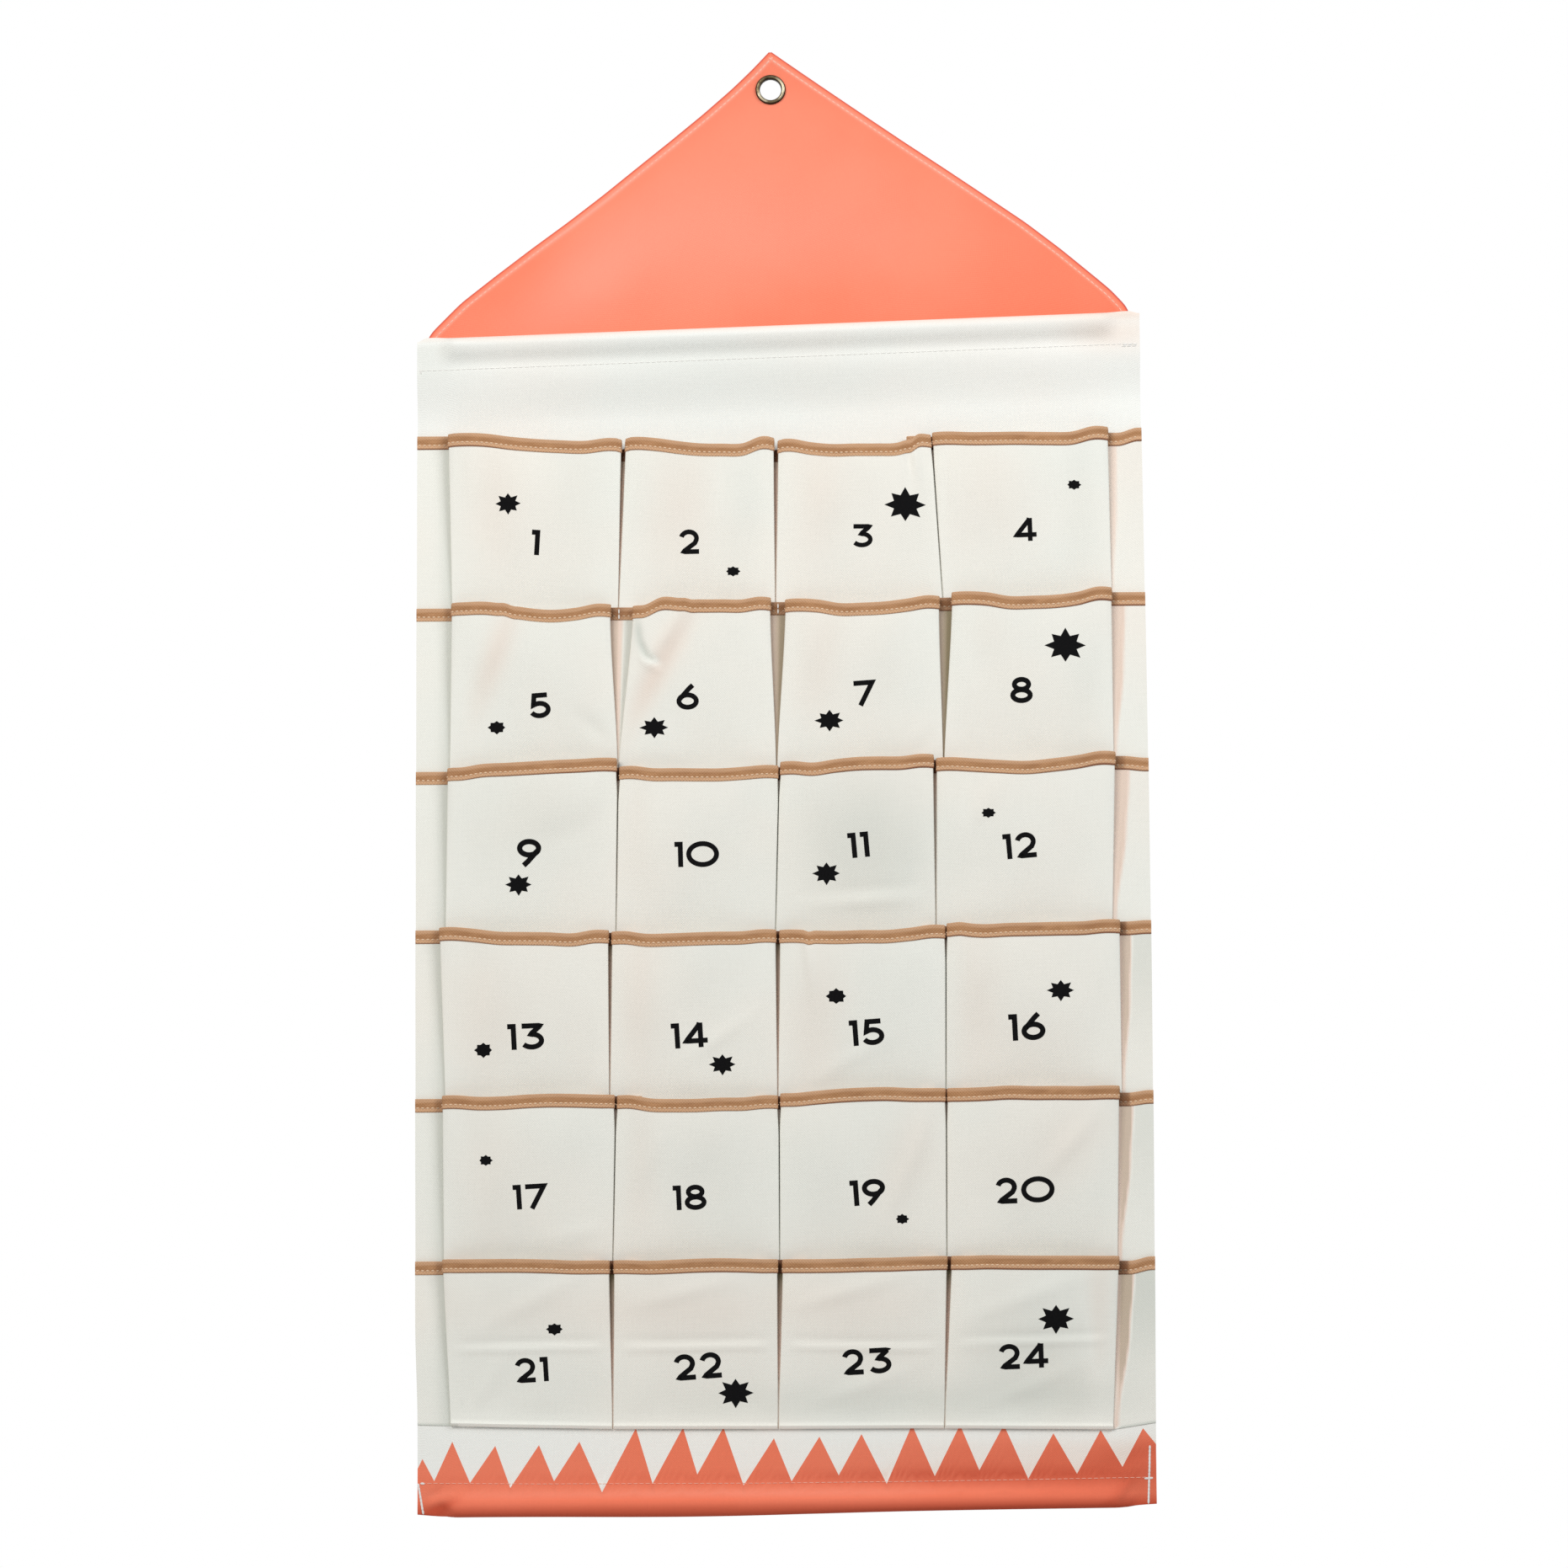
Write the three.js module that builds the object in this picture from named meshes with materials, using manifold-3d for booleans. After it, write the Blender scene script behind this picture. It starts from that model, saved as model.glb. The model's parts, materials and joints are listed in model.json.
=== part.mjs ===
// Fabric advent calendar: a white canvas wall hanging in the shape of a house. Six strips of
// canvas are sewn across it, each folded in inverted box pleats into four pockets and bound
// with brown tape. Two wooden rods in sleeves keep it flat, and a coral gable with a brass
// eyelet hangs it on one nail.
//
// Lengths are in millimetres, +Z is up and the front faces -Y. The origin is the middle of the
// eyelet's hole, on the wall. Depths are counted forward from the wall, so a depth d lies at
// y = -d.
import * as THREE from "three";
import { mergeVertices } from "three/addons/utils/BufferGeometryUtils.js";
import Module from "manifold-3d";

const wasm = await Module();
wasm.setup();

// Cloth, tape and the clearances between them.
const canvas = 0.8; // thickness of the white and coral canvas
const tape = 0.6; // thickness of the binding tape
const clear = 0.3; // between neighbouring layers of cloth
const seat = 0.1; // between the faces that the eyelet clamps
const overrun = 5; // how far a cutting solid reaches past what it cuts

// The white panel.
const pocketColumns = 4;
const pocketRows = 6;
const pocketPitch = 103; // from pleat to pleat
const sideStrip = 20; // flat strip between the outer pleats and the side edges
const panelShift = 4; // the panel hangs this far right of the eyelet
const rowPitch = 102.2; // from mouth to mouth
const footHeight = 33; // printed foot, from the last row to the seam of the foot sleeve
const headerSleeve = 20; // height of the header's rod sleeve, edge to seam
const footSleeve = 18; // height of the foot's rod sleeve, seam to edge
const footFall = 3.4; // the foot's left end hangs this much lower than its right end
const sleeveRamp = 12; // where the cloth comes back to the wall next to a seam

// The gable and its hem.
const roofHeight = 151.7; // header's top edge below the eyelet, at mid width
const roofLineFall = 14.7; // the header's left end hangs this much lower than its right end
const headerHeight = 69.3; // from the header's top edge to the mouth of the top row, at mid width
const apexRise = 23; // tip of the gable above the eyelet's middle
const apexWidth = 2.4; // the tip is folded blunt
const cornerInset = 7.8; // the gable's corners stop short of the panel's edges
const edgeBulge = 8; // how far the sloping edges may bow outward
const hemWidth = 5;
const leftEdgeShares = [[0.22, -0.15], [0.52, 0], [0.79, 0.5], [0.92, 0.65]]; // along, bowed
const rightEdgeShares = [[0.28, 0.45], [0.51, 0.95], [0.77, 0.85], [0.95, 0.55]];

// Rods.
const rodRadius = 4;
const rodLength = 402;
const rodClear = 0.3; // between a rod and its sleeve
const rodChamfer = 0.6;

// Eyelet and washer.
const holeRadius = 6.7;
const flangeRadius = 9.5;
const barrelWall = 0.5;
const flangeRise = 1.7; // height of the rolled flange above the cloth
const flangeLip = 0.45; // edge of the flange that bites on the cloth
const clinchRadius = 8.5; // the barrel's end, rolled out over the washer
const clinch = 0.5; // thickness of that rolled end
const washerThickness = 0.5;
const washerRadius = 9.3;

// Pleats and pockets.
const bindingHeight = 7.2;
const mouthBand = 10; // upright part of a pocket under its mouth
const seamBand = 7; // flat part of a pocket over its foot seam
const pleatDepth = 14; // how far a pleat's cloth runs back under its pocket
const pleatMouth = 8; // widest gap between two neighbouring folds at the mouth
const pleatFoot = 1.7; // the same gap at the foot seam
const pleatSpread = 0.6; // between the bound layers of a pleat at the mouth
const belly = 6; // how far a pocket's mouth stands out in front of its folds
const footTuck = 7; // how far a pocket's foot hangs behind the next row's mouth at mid width
const foldShift = 10; // unit of the folds' sideways shares
const mouthWave = 10; // unit of the mouths' up and down shares

// Across a pocket, its cloth has these stations between its two folds.
const acrossShares = [0.2, 0.5, 0.8];
const bellyShares = [0.75, 1, 0.75];
const tuckShares = [0, 1, 0];

// How each row hangs in the photograph. Every row has five pleat lines, which lean sideways
// from mouth to foot, in shares of foldShift, and a gap at the mouth, as a share of pleatMouth.
const mouthFoldShares = [
  [0, 0.6, -0.2, -0.8, -0.15],
  [0.25, 0.15, -0.25, 0.1, -0.1],
  [0, 0.15, -0.1, -0.7, 0.1],
  [-0.5, -0.35, -0.3, -0.15, 0.1],
  [-0.3, 0, -0.25, -0.25, 0],
  [-0.25, -0.3, -0.3, -0.2, -0.15],
];
const footFoldShares = [
  [0.2, 0.2, -0.3, -0.1, 0],
  [0.05, 0.15, -0.3, -0.25, -0.05],
  [-0.2, 0, -0.45, -0.8, -0.3],
  [-0.15, -0.4, -0.35, -0.3, 0.15],
  [-0.25, -0.25, -0.3, -0.35, -0.25],
  [0.15, -0.25, -0.45, -0.6, -0.8],
];
const gapShares = [0.5, 1, 0.6, 0.55, 0.55, 0.6];
// Height of the flat cloth at the row's left and right ends, in shares of mouthWave.
const recessShares = [[0.05, 0.3], [-0.6, 0.15], [-0.65, 0.1], [-0.1, 0.1], [-0.25, -0.2], [0.05, -0.2]];
// Height of each pocket's mouth at its left fold, at the three stations and at its right fold.
const mouthShares = [
  [[0.2, 0.2, -0.2, -0.3, -0.2], [-0.1, -0.2, -0.55, -0.5, -0.1],
    [-0.2, -0.5, -0.6, -0.55, 0], [0.1, 0.05, 0, 0, 0.35]],
  [[-0.25, -0.2, -0.7, -0.55, -0.4], [-0.6, -0.25, -0.2, -0.15, 0],
    [-0.25, -0.25, -0.4, -0.15, 0], [0.2, 0.2, -0.05, 0.15, 0.5]],
  [[-0.3, -0.1, 0.05, 0.15, 0.25], [-0.3, -0.4, -0.5, -0.4, -0.3],
    [-0.05, -0.15, 0.2, 0.2, 0.3], [0.1, 0.05, -0.15, 0.2, 0.45]],
  [[-0.05, -0.15, -0.3, -0.4, -0.25], [-0.25, -0.45, -0.45, -0.35, -0.3],
    [-0.3, -0.4, -0.35, -0.15, 0], [0.1, -0.05, 0.05, 0.1, 0.25]],
  [[-0.1, -0.25, -0.15, -0.1, -0.1], [-0.2, -0.35, -0.4, -0.35, -0.25],
    [-0.15, -0.05, 0.15, 0.1, 0.15], [0.1, 0.15, 0.2, 0.2, 0.25]],
  [[0.1, 0.1, 0.05, 0, 0], [0, -0.1, 0.05, 0, -0.05],
    [-0.05, -0.05, 0.05, 0.05, 0.05], [0.1, 0.1, 0.05, 0.05, 0.05]],
];

// Facets.
const hemSteps = 10;
const ringSides = 20;
const sleeveSides = 12;
const rodSides = 16;

// Worked out from the sizes above.
const panelWidth = pocketColumns * pocketPitch + 2 * sideStrip;
const panelLeft = panelShift - panelWidth / 2;
const panelRight = panelShift + panelWidth / 2;
const firstRow = roofHeight + headerHeight; // mouth of the top row, below the eyelet
const lastFoot = -firstRow - pocketRows * rowPitch;
const footSeam = lastFoot - footHeight;
const panelFoot = footSeam - footSleeve;
const roofSlope = roofLineFall / panelWidth;
const roofTilt = Math.atan(roofSlope);
const footSlope = footFall / panelWidth;
const footTilt = Math.atan(footSlope);
const sleeveInner = rodRadius + rodClear;
const sleeveOuter = sleeveInner + canvas;
const washerBack = clinch + seat;
const gableBack = washerBack + washerThickness + seat;
const gableFront = gableBack + canvas;
const topSleeveBack = gableFront + clear;
const topRodDepth = topSleeveBack + sleeveOuter;
const footRodDepth = sleeveOuter;
const boundHalf = canvas / 2 + clear + tape; // half the thickness of the bound cloth
const bindingCap = clear + tape; // binding above the edge it covers
const rowGap = bindingCap + clear; // a row's foot above the next row's flat cloth

// Height of the header's top edge and of the top rod's middle at a given x.
const roofLine = (x) => -roofHeight + (x - panelShift) * roofSlope;
const topRodHeight = (x) => roofLine(x) - sleeveOuter;

const materials = {
  whiteCanvas: { color: 0xecece4, roughness: 0.92, metalness: 0 },
  coralCanvas: { color: 0xff9176, roughness: 0.9, metalness: 0 },
  brownTape: { color: 0xc18c5f, roughness: 0.85, metalness: 0 },
  brass: { color: 0x8c7a55, roughness: 0.35, metalness: 1 },
  wood: { color: 0xd9b98a, roughness: 0.7, metalness: 0 },
};

const calendar = new THREE.Group();
calendar.name = "fabric_advent_calendar";

function addPart(name, geometry, materialName) {
  geometry.computeVertexNormals();
  const mesh = new THREE.Mesh(geometry, new THREE.MeshStandardMaterial(materials[materialName]));
  mesh.name = name;
  calendar.add(mesh);
  return mesh;
}

function toSolid(geometry) {
  const bare = geometry.clone();
  bare.deleteAttribute("normal");
  bare.deleteAttribute("uv");
  const merged = mergeVertices(bare);
  return new wasm.Manifold(new wasm.Mesh({
    numProp: 3,
    vertProperties: new Float32Array(merged.attributes.position.array),
    triVerts: new Uint32Array(merged.index.array),
  }));
}

function fromSolid(solid) {
  const mesh = solid.getMesh();
  const geometry = new THREE.BufferGeometry();
  geometry.setAttribute("position", new THREE.BufferAttribute(new Float32Array(mesh.vertProperties), 3));
  geometry.setIndex(new THREE.BufferAttribute(new Uint32Array(mesh.triVerts), 1));
  return geometry;
}

// A shape drawn in x and z, thickened from one depth to a greater one.
function sheetGeometry(shape, backDepth, frontDepth) {
  const geometry = new THREE.ExtrudeGeometry(shape, {
    depth: frontDepth - backDepth,
    bevelEnabled: false,
    curveSegments: ringSides,
  });
  return geometry.translate(0, 0, backDepth).rotateX(Math.PI / 2);
}

// A ring or disc turned about the axis through the eyelet's hole, from points [radius, depth].
function turnedGeometry(profile) {
  const points = profile.map(([radius, depth]) => new THREE.Vector2(radius, -depth));
  return new THREE.LatheGeometry([...points, points[0]], ringSides);
}

// The skin over a row of closed loops of equally many points, with its two ends capped. The
// loops stand across the direction in which they follow one another.
function loftGeometry(loops) {
  const count = loops[0].length;
  const points = loops.flat();
  const faces = [];
  for (let i = 0; i < loops.length - 1; i += 1) {
    for (let j = 0; j < count; j += 1) {
      const next = (j + 1) % count;
      const [a, b] = [i * count + j, i * count + next];
      const [c, d] = [a + count, b + count];
      faces.push(a, b, c, b, d, c);
    }
  }
  const lastLoop = points.length - count;
  const endOutline = loops[0].map((p) => new THREE.Vector2(p.y, p.z));
  for (const [a, b, c] of THREE.ShapeUtils.triangulateShape(endOutline, [])) {
    faces.push(a, c, b, lastLoop + a, lastLoop + b, lastLoop + c);
  }
  const geometry = new THREE.BufferGeometry().setFromPoints(points);
  geometry.setIndex(faces);
  return geometry;
}

// The gable's outline down to the fold line, where it is sewn to the back of the top sleeve.
function gableEdge(corner, tip, shares) {
  const along = corner.clone().sub(tip);
  const outward = new THREE.Vector2(-along.y, along.x).normalize();
  if (outward.y < 0) {
    outward.negate();
  }
  const stops = shares.map(([share, bow]) => tip.clone()
    .addScaledVector(along, share)
    .addScaledVector(outward, bow * edgeBulge));
  return new THREE.SplineCurve([tip, ...stops, corner]).getPoints(hemSteps);
}

function gableOutline() {
  const leftX = panelLeft + cornerInset;
  const rightX = panelRight - cornerInset;
  const left = gableEdge(
    new THREE.Vector2(leftX, roofLine(leftX)), new THREE.Vector2(-apexWidth / 2, apexRise), leftEdgeShares);
  const right = gableEdge(
    new THREE.Vector2(rightX, roofLine(rightX)), new THREE.Vector2(apexWidth / 2, apexRise), rightEdgeShares);
  return {
    left,
    right,
    base: [new THREE.Vector2(leftX, topRodHeight(leftX)), new THREE.Vector2(rightX, topRodHeight(rightX))],
  };
}

// The same edge, moved in by the hem's width square to each stretch of it.
function insetEdge(edge, side) {
  return edge.map((point, i) => {
    const before = edge[Math.max(i - 1, 0)];
    const after = edge[Math.min(i + 1, edge.length - 1)];
    const along = after.clone().sub(before).normalize();
    return new THREE.Vector2(along.y, -along.x).multiplyScalar(side * hemWidth).add(point);
  });
}

function roofPanel() {
  const { left, right, base } = gableOutline();
  const outline = new THREE.Shape([...left, base[0], base[1], ...right.slice().reverse()]);
  const full = sheetGeometry(outline, gableBack - canvas, gableFront);

  const innerLeft = insetEdge(left, -1).filter((p) => p.x < 0);
  const innerRight = insetEdge(right, 1).filter((p) => p.x > 0);
  const slant = left[1].clone().sub(left[0]);
  const innerTip = new THREE.Vector2(0, apexRise - hemWidth * slant.length() / Math.abs(slant.x));
  const [lowLeft, lowRight] = [innerLeft.at(-1).clone(), innerRight.at(-1).clone()];
  lowLeft.y = base[0].y - overrun;
  lowRight.y = base[1].y - overrun;
  const inner = new THREE.Shape([innerTip, ...innerLeft, lowLeft, lowRight, ...innerRight.reverse()]);
  const behindHem = sheetGeometry(inner, gableBack - canvas - overrun, gableBack);

  const hole = new THREE.Shape();
  hole.absarc(0, 0, holeRadius + barrelWall + clear, 0, 2 * Math.PI, false);
  const eyeletHole = sheetGeometry(hole, -overrun, gableFront + overrun);

  return fromSolid(toSolid(full).subtract(toSolid(behindHem)).subtract(toSolid(eyeletHole)));
}

// The eyelet's barrel goes through gable and washer. In front it rolls over into a domed
// flange, and behind it is clinched over the washer.
function eyelet() {
  const barrel = holeRadius + barrelWall;
  const flangeBack = gableFront + seat;
  const crown = (holeRadius + flangeRadius) / 2;
  const roll = (flangeRadius - holeRadius) / 2;
  return turnedGeometry([
    [holeRadius, clinch],
    [holeRadius, flangeBack + flangeRise / 2],
    [crown - roll * 0.7, flangeBack + flangeRise * 0.9],
    [crown, flangeBack + flangeRise],
    [crown + roll * 0.7, flangeBack + flangeRise * 0.8],
    [flangeRadius, flangeBack + flangeLip],
    [flangeRadius, flangeBack],
    [barrel, flangeBack],
    [barrel, clinch],
    [clinchRadius, clinch],
    [clinchRadius, clinch / 2],
    [barrel, 0],
  ]);
}

function eyeletWasher() {
  const inner = holeRadius + barrelWall + clear;
  const front = washerBack + washerThickness;
  return turnedGeometry([
    [inner, washerBack],
    [inner, front],
    [washerRadius, front],
    [washerRadius, washerBack + washerThickness / 2],
    [washerRadius - washerThickness / 2, washerBack],
  ]);
}

// One rod sleeve in section, as points [depth, height]. It hangs below its seam where turn is 1
// and stands above it where turn is -1, and drop is its height. The cloth goes round the rod and
// comes back to the seam, where it is sewn to itself.
function sleeveSection(back, seam, drop, turn) {
  const depth = back + sleeveOuter;
  const height = drop - sleeveOuter; // from the seam to the rod's middle
  const reach = Math.hypot(2 * canvas - sleeveOuter, height);
  const toSeam = Math.atan2(height, 2 * canvas - sleeveOuter);
  const frontTangent = toSeam - Math.acos(sleeveOuter / reach);
  const arc = (radius) => Array.from({ length: sleeveSides + 1 }, (_, i) => {
    const angle = Math.PI + (Math.PI + frontTangent) * (i / sleeveSides);
    return [depth + radius * Math.cos(angle), radius * Math.sin(angle) - height];
  });
  const inner = arc(sleeveInner);
  const [lastDepth, lastHeight] = inner.at(-1);
  const tipRun = (lastDepth - back - canvas) / Math.sin(frontTangent);
  const tip = [back + canvas, lastHeight + tipRun * Math.cos(frontTangent)];
  const place = ([d, h]) => new THREE.Vector2(d, seam + turn * h);
  return {
    outer: [[back, 0], ...arc(sleeveOuter), [back + 2 * canvas, 0]].map(place),
    inner: [tip, ...inner].map(place),
  };
}

// The white panel is one cloth with a sleeve at each end. It is drawn in section, drawn out
// over the panel's width. Its header is then tilted to the roof line, and its foot to the
// line on which the lower rod hangs.
function backPanel() {
  const topSeam = -roofHeight - headerSleeve;
  const foot = sleeveSection(0, footSeam, footSleeve, 1);
  const header = sleeveSection(topSleeveBack, topSeam, headerSleeve, -1);
  const section = new THREE.Shape([
    ...foot.outer,
    new THREE.Vector2(canvas, footSeam + sleeveRamp / 2),
    new THREE.Vector2(canvas, topSeam - sleeveRamp),
    ...header.outer.reverse(),
    new THREE.Vector2(0, topSeam - sleeveRamp),
  ]);
  section.holes.push(new THREE.Path(foot.inner), new THREE.Path(header.inner));
  const geometry = new THREE.ExtrudeGeometry(section, { depth: panelWidth, bevelEnabled: false });
  const position = geometry.attributes.position;
  for (let i = 0; i < position.count; i += 1) {
    const [depth, height, run] = [position.getX(i), position.getY(i), position.getZ(i)];
    const x = panelRight - run;
    const upper = height > -firstRow ? roofSlope : 0;
    const slope = height < lastFoot ? footSlope : upper;
    position.setXYZ(i, x, -depth, height + (x - panelShift) * slope);
  }
  return geometry;
}

function rod() {
  const outline = [
    [0, 0],
    [rodRadius - rodChamfer, 0],
    [rodRadius, rodChamfer],
    [rodRadius, rodLength - rodChamfer],
    [rodRadius - rodChamfer, rodLength],
    [0, rodLength],
  ].map(([radius, along]) => new THREE.Vector2(radius, along - rodLength / 2));
  return new THREE.LatheGeometry(outline, rodSides).rotateZ(-Math.PI / 2);
}

// One row's folds: where its pleat lines lie at the mouth and at the foot.
function foldLine(row, pleat, down) {
  const share = mouthFoldShares[row][pleat] * (1 - down) + footFoldShares[row][pleat] * down;
  return panelLeft + sideStrip + pleat * pocketPitch + share * foldShift;
}

// Height of a row's flat cloth, next to the panel, at its upper edge.
function recess(row, x) {
  const [left, right] = recessShares[row];
  const share = (x - panelLeft) / panelWidth;
  return -firstRow - row * rowPitch + (left + (right - left) * share) * mouthWave;
}

// Height of a row's lower edge: just above the next row's flat cloth, and lower at mid pocket.
function rowFoot(row, { x, tuck }) {
  return row + 1 < pocketRows ? recess(row + 1, x) + rowGap - footTuck * tuck : lastFoot;
}

// Depths of the three layers of a pleat, middle of the cloth, back to front. At the mouth they
// make room for the binding, and at the foot seam they lie flat on one another.
function layerDepths(down) {
  const mouth = { first: canvas + clear + boundHalf, pitch: 2 * boundHalf + pleatSpread };
  const foot = { first: canvas + clear + canvas / 2, pitch: canvas + clear };
  const first = mouth.first * (1 - down) + foot.first * down;
  const pitch = mouth.pitch * (1 - down) + foot.pitch * down;
  return [first, first + pitch, first + 2 * pitch];
}

// The folded path of one row's cloth, seen from above, from the left edge to the right one.
// Each stop has its x, its depth, the height of the mouth there and how far its foot is tucked
// in. Down is 0 at the mouth and 1 at the foot.
function rowPath(row, down) {
  const [flat, back, front] = layerDepths(down);
  const gap = (pleatMouth * gapShares[row] * (1 - down) + pleatFoot * down) / 2;
  const line = (pleat) => foldLine(row, pleat, down);
  const mouthAt = (pocket, i) => -firstRow - row * rowPitch + mouthShares[row][pocket][i] * mouthWave;
  const path = [];
  const stop = (x, depth, mouth, tuck = 0) => path.push({ x, depth, mouth, tuck });
  const flatStop = (x, depth) => stop(x, depth, recess(row, x));

  flatStop(panelLeft, flat);
  for (let pocket = 0; pocket < pocketColumns; pocket += 1) {
    const leftFold = line(pocket) + (pocket > 0 ? gap : 0);
    const rightFold = line(pocket + 1) - (pocket + 1 < pocketColumns ? gap : 0);
    const lastAcross = acrossShares.length + 1;
    flatStop(leftFold + pleatDepth, flat);
    flatStop(leftFold + pleatDepth, back);
    stop(leftFold, back, mouthAt(pocket, 0));
    stop(leftFold, front, mouthAt(pocket, 0));
    acrossShares.forEach((share, i) => {
      const depth = front + belly * bellyShares[i] * (1 - down);
      stop(leftFold + share * (rightFold - leftFold), depth, mouthAt(pocket, i + 1), tuckShares[i]);
    });
    stop(rightFold, front, mouthAt(pocket, lastAcross));
    stop(rightFold, back, mouthAt(pocket, lastAcross));
    flatStop(rightFold - pleatDepth, back);
    flatStop(rightFold - pleatDepth, flat);
    if (pocket + 1 < pocketColumns) {
      flatStop(line(pocket + 1), flat);
    }
  }
  flatStop(panelRight, flat);
  return path;
}

// At each stop of a path, the direction square to the cloth, long enough that an offset along
// it keeps the cloth's thickness round a corner.
function mitres(path) {
  const steps = path.slice(1).map((p, i) => new THREE.Vector2(p.x - path[i].x, p.depth - path[i].depth).normalize());
  return path.map((_, i) => {
    const before = steps[Math.max(i - 1, 0)];
    const after = steps[Math.min(i, steps.length - 1)];
    const sum = new THREE.Vector2(-before.y - after.y, before.x + after.x);
    return sum.divideScalar(1 + before.dot(after));
  });
}

// One row's cloth at four levels: its mouth, the foot of the upright band there, the head of
// the flat band at the foot seam, and the seam.
function rowLevels(row) {
  const mouth = rowPath(row, 0);
  const foot = rowPath(row, 1);
  return [
    { path: mouth, z: (i) => mouth[i].mouth },
    { path: mouth, z: (i) => mouth[i].mouth - mouthBand },
    { path: foot, z: (i) => rowFoot(row, foot[i]) + seamBand },
    { path: foot, z: (i) => rowFoot(row, foot[i]) },
  ];
}

function pocketRow(row) {
  const levels = rowLevels(row).map((level) => ({ ...level, out: mitres(level.path) }));
  const at = (level, i, side) => {
    const { x, depth } = level.path[i];
    const offset = level.out[i].clone().multiplyScalar(side * canvas / 2);
    return new THREE.Vector3(x + offset.x, -(depth + offset.y), level.z(i));
  };
  const loops = levels[0].path.map((_, i) => [
    ...levels.map((level) => at(level, i, 1)),
    ...levels.slice().reverse().map((level) => at(level, i, -1)),
  ]);
  return loftGeometry(loops);
}

// The tape is folded over the row's upper edge, so it follows every pleat of it.
function binding(row) {
  const path = rowPath(row, 0);
  const out = mitres(path);
  const inner = canvas / 2 + clear;
  const section = [
    [boundHalf, bindingCap],
    [boundHalf, -bindingHeight],
    [inner, -bindingHeight],
    [inner, clear],
    [-inner, clear],
    [-inner, -bindingHeight],
    [-boundHalf, -bindingHeight],
    [-boundHalf, bindingCap],
  ];
  return loftGeometry(path.map((stop, i) => section.map(([side, rise]) => {
    const offset = out[i].clone().multiplyScalar(side);
    return new THREE.Vector3(stop.x + offset.x, -(stop.depth + offset.y), stop.mouth + rise);
  })));
}

addPart("roof_panel", roofPanel(), "coralCanvas");
addPart("eyelet", eyelet(), "brass");
addPart("eyelet_washer", eyeletWasher(), "brass");
addPart("back_panel", backPanel(), "whiteCanvas");

const topRod = addPart("top_rod", rod(), "wood");
topRod.position.set(panelShift, -topRodDepth, topRodHeight(panelShift));
topRod.rotation.y = -roofTilt;
const bottomRod = addPart("bottom_rod", rod(), "wood");
bottomRod.position.set(panelShift, -footRodDepth, panelFoot + sleeveOuter);
bottomRod.rotation.y = -footTilt;

for (let row = 0; row < pocketRows; row += 1) {
  addPart("pocket_row_" + (row + 1), pocketRow(row), "whiteCanvas");
  addPart("binding_" + (row + 1), binding(row), "brownTape");
}

export default calendar;
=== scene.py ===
# %% [markdown]
# # A fabric advent calendar, as a lesson in cloth
# The object is a wall hanging in the shape of a house: a coral gable with a brass eyelet, and
# below it a white canvas panel with six rows of numbered pockets bound with brown tape.
# The CAD model gives the frame: where every piece lies and how it moves. This script dresses
# that frame. Cloth is thin, soft and never quite flat, so each cloth solid of the frame is
# replaced by a sheet whose vertices are moved in code along the same folds.

import json
import math

import bmesh
import bpy
import numpy as np
from mathutils import Matrix, Vector, noise
from mathutils.bvhtree import BVHTree

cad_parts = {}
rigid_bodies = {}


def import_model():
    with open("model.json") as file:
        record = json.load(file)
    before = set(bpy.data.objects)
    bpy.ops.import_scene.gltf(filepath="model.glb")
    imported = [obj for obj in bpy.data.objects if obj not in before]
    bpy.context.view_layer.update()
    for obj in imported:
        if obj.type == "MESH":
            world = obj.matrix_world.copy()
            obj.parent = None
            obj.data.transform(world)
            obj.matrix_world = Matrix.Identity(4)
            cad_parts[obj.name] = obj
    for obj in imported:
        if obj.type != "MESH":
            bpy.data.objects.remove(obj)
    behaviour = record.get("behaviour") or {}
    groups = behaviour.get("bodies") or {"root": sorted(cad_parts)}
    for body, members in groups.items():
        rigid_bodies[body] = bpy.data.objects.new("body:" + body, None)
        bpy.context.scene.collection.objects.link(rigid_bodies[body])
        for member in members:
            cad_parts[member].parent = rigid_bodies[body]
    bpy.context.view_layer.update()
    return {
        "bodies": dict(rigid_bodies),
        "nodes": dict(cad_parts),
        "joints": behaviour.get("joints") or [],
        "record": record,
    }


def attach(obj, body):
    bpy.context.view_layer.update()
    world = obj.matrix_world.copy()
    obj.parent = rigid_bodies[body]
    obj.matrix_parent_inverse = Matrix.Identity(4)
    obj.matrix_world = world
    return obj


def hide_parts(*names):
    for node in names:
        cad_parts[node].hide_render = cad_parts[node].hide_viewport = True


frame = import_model()

# %% [markdown]
# ## The camera
# The photograph was taken from a little below the middle of the hanging, looking up by five
# degrees. The picture plane then converges upwards, which is why the panel looks wider at its
# foot. The focal length is given for a square picture of 1862 pixels.

# %% Place the camera
MM = 0.001
PICTURE = 1862  # width of the photograph, pixels
SENSOR = 36.0
FOCAL_PIXELS = 4217.0
CAMERA_PLACE = (0.0056, -2.196, -0.630)
LOOK_UP, ROLL = math.radians(4.96), math.radians(0.38)

camera_data = bpy.data.cameras.new("photo_camera")
camera_data.sensor_width = SENSOR
camera_data.lens = SENSOR * FOCAL_PIXELS / PICTURE
camera = bpy.data.objects.new("photo_camera", camera_data)
bpy.context.collection.objects.link(camera)
camera.location = CAMERA_PLACE
turned_up = Matrix.Rotation(math.pi / 2 + LOOK_UP, 4, "X")
camera.rotation_euler = (turned_up @ Matrix.Rotation(-ROLL, 4, "Z")).to_euler()
bpy.context.scene.camera = camera
print("lens, mm:", round(camera_data.lens, 2))

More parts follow.
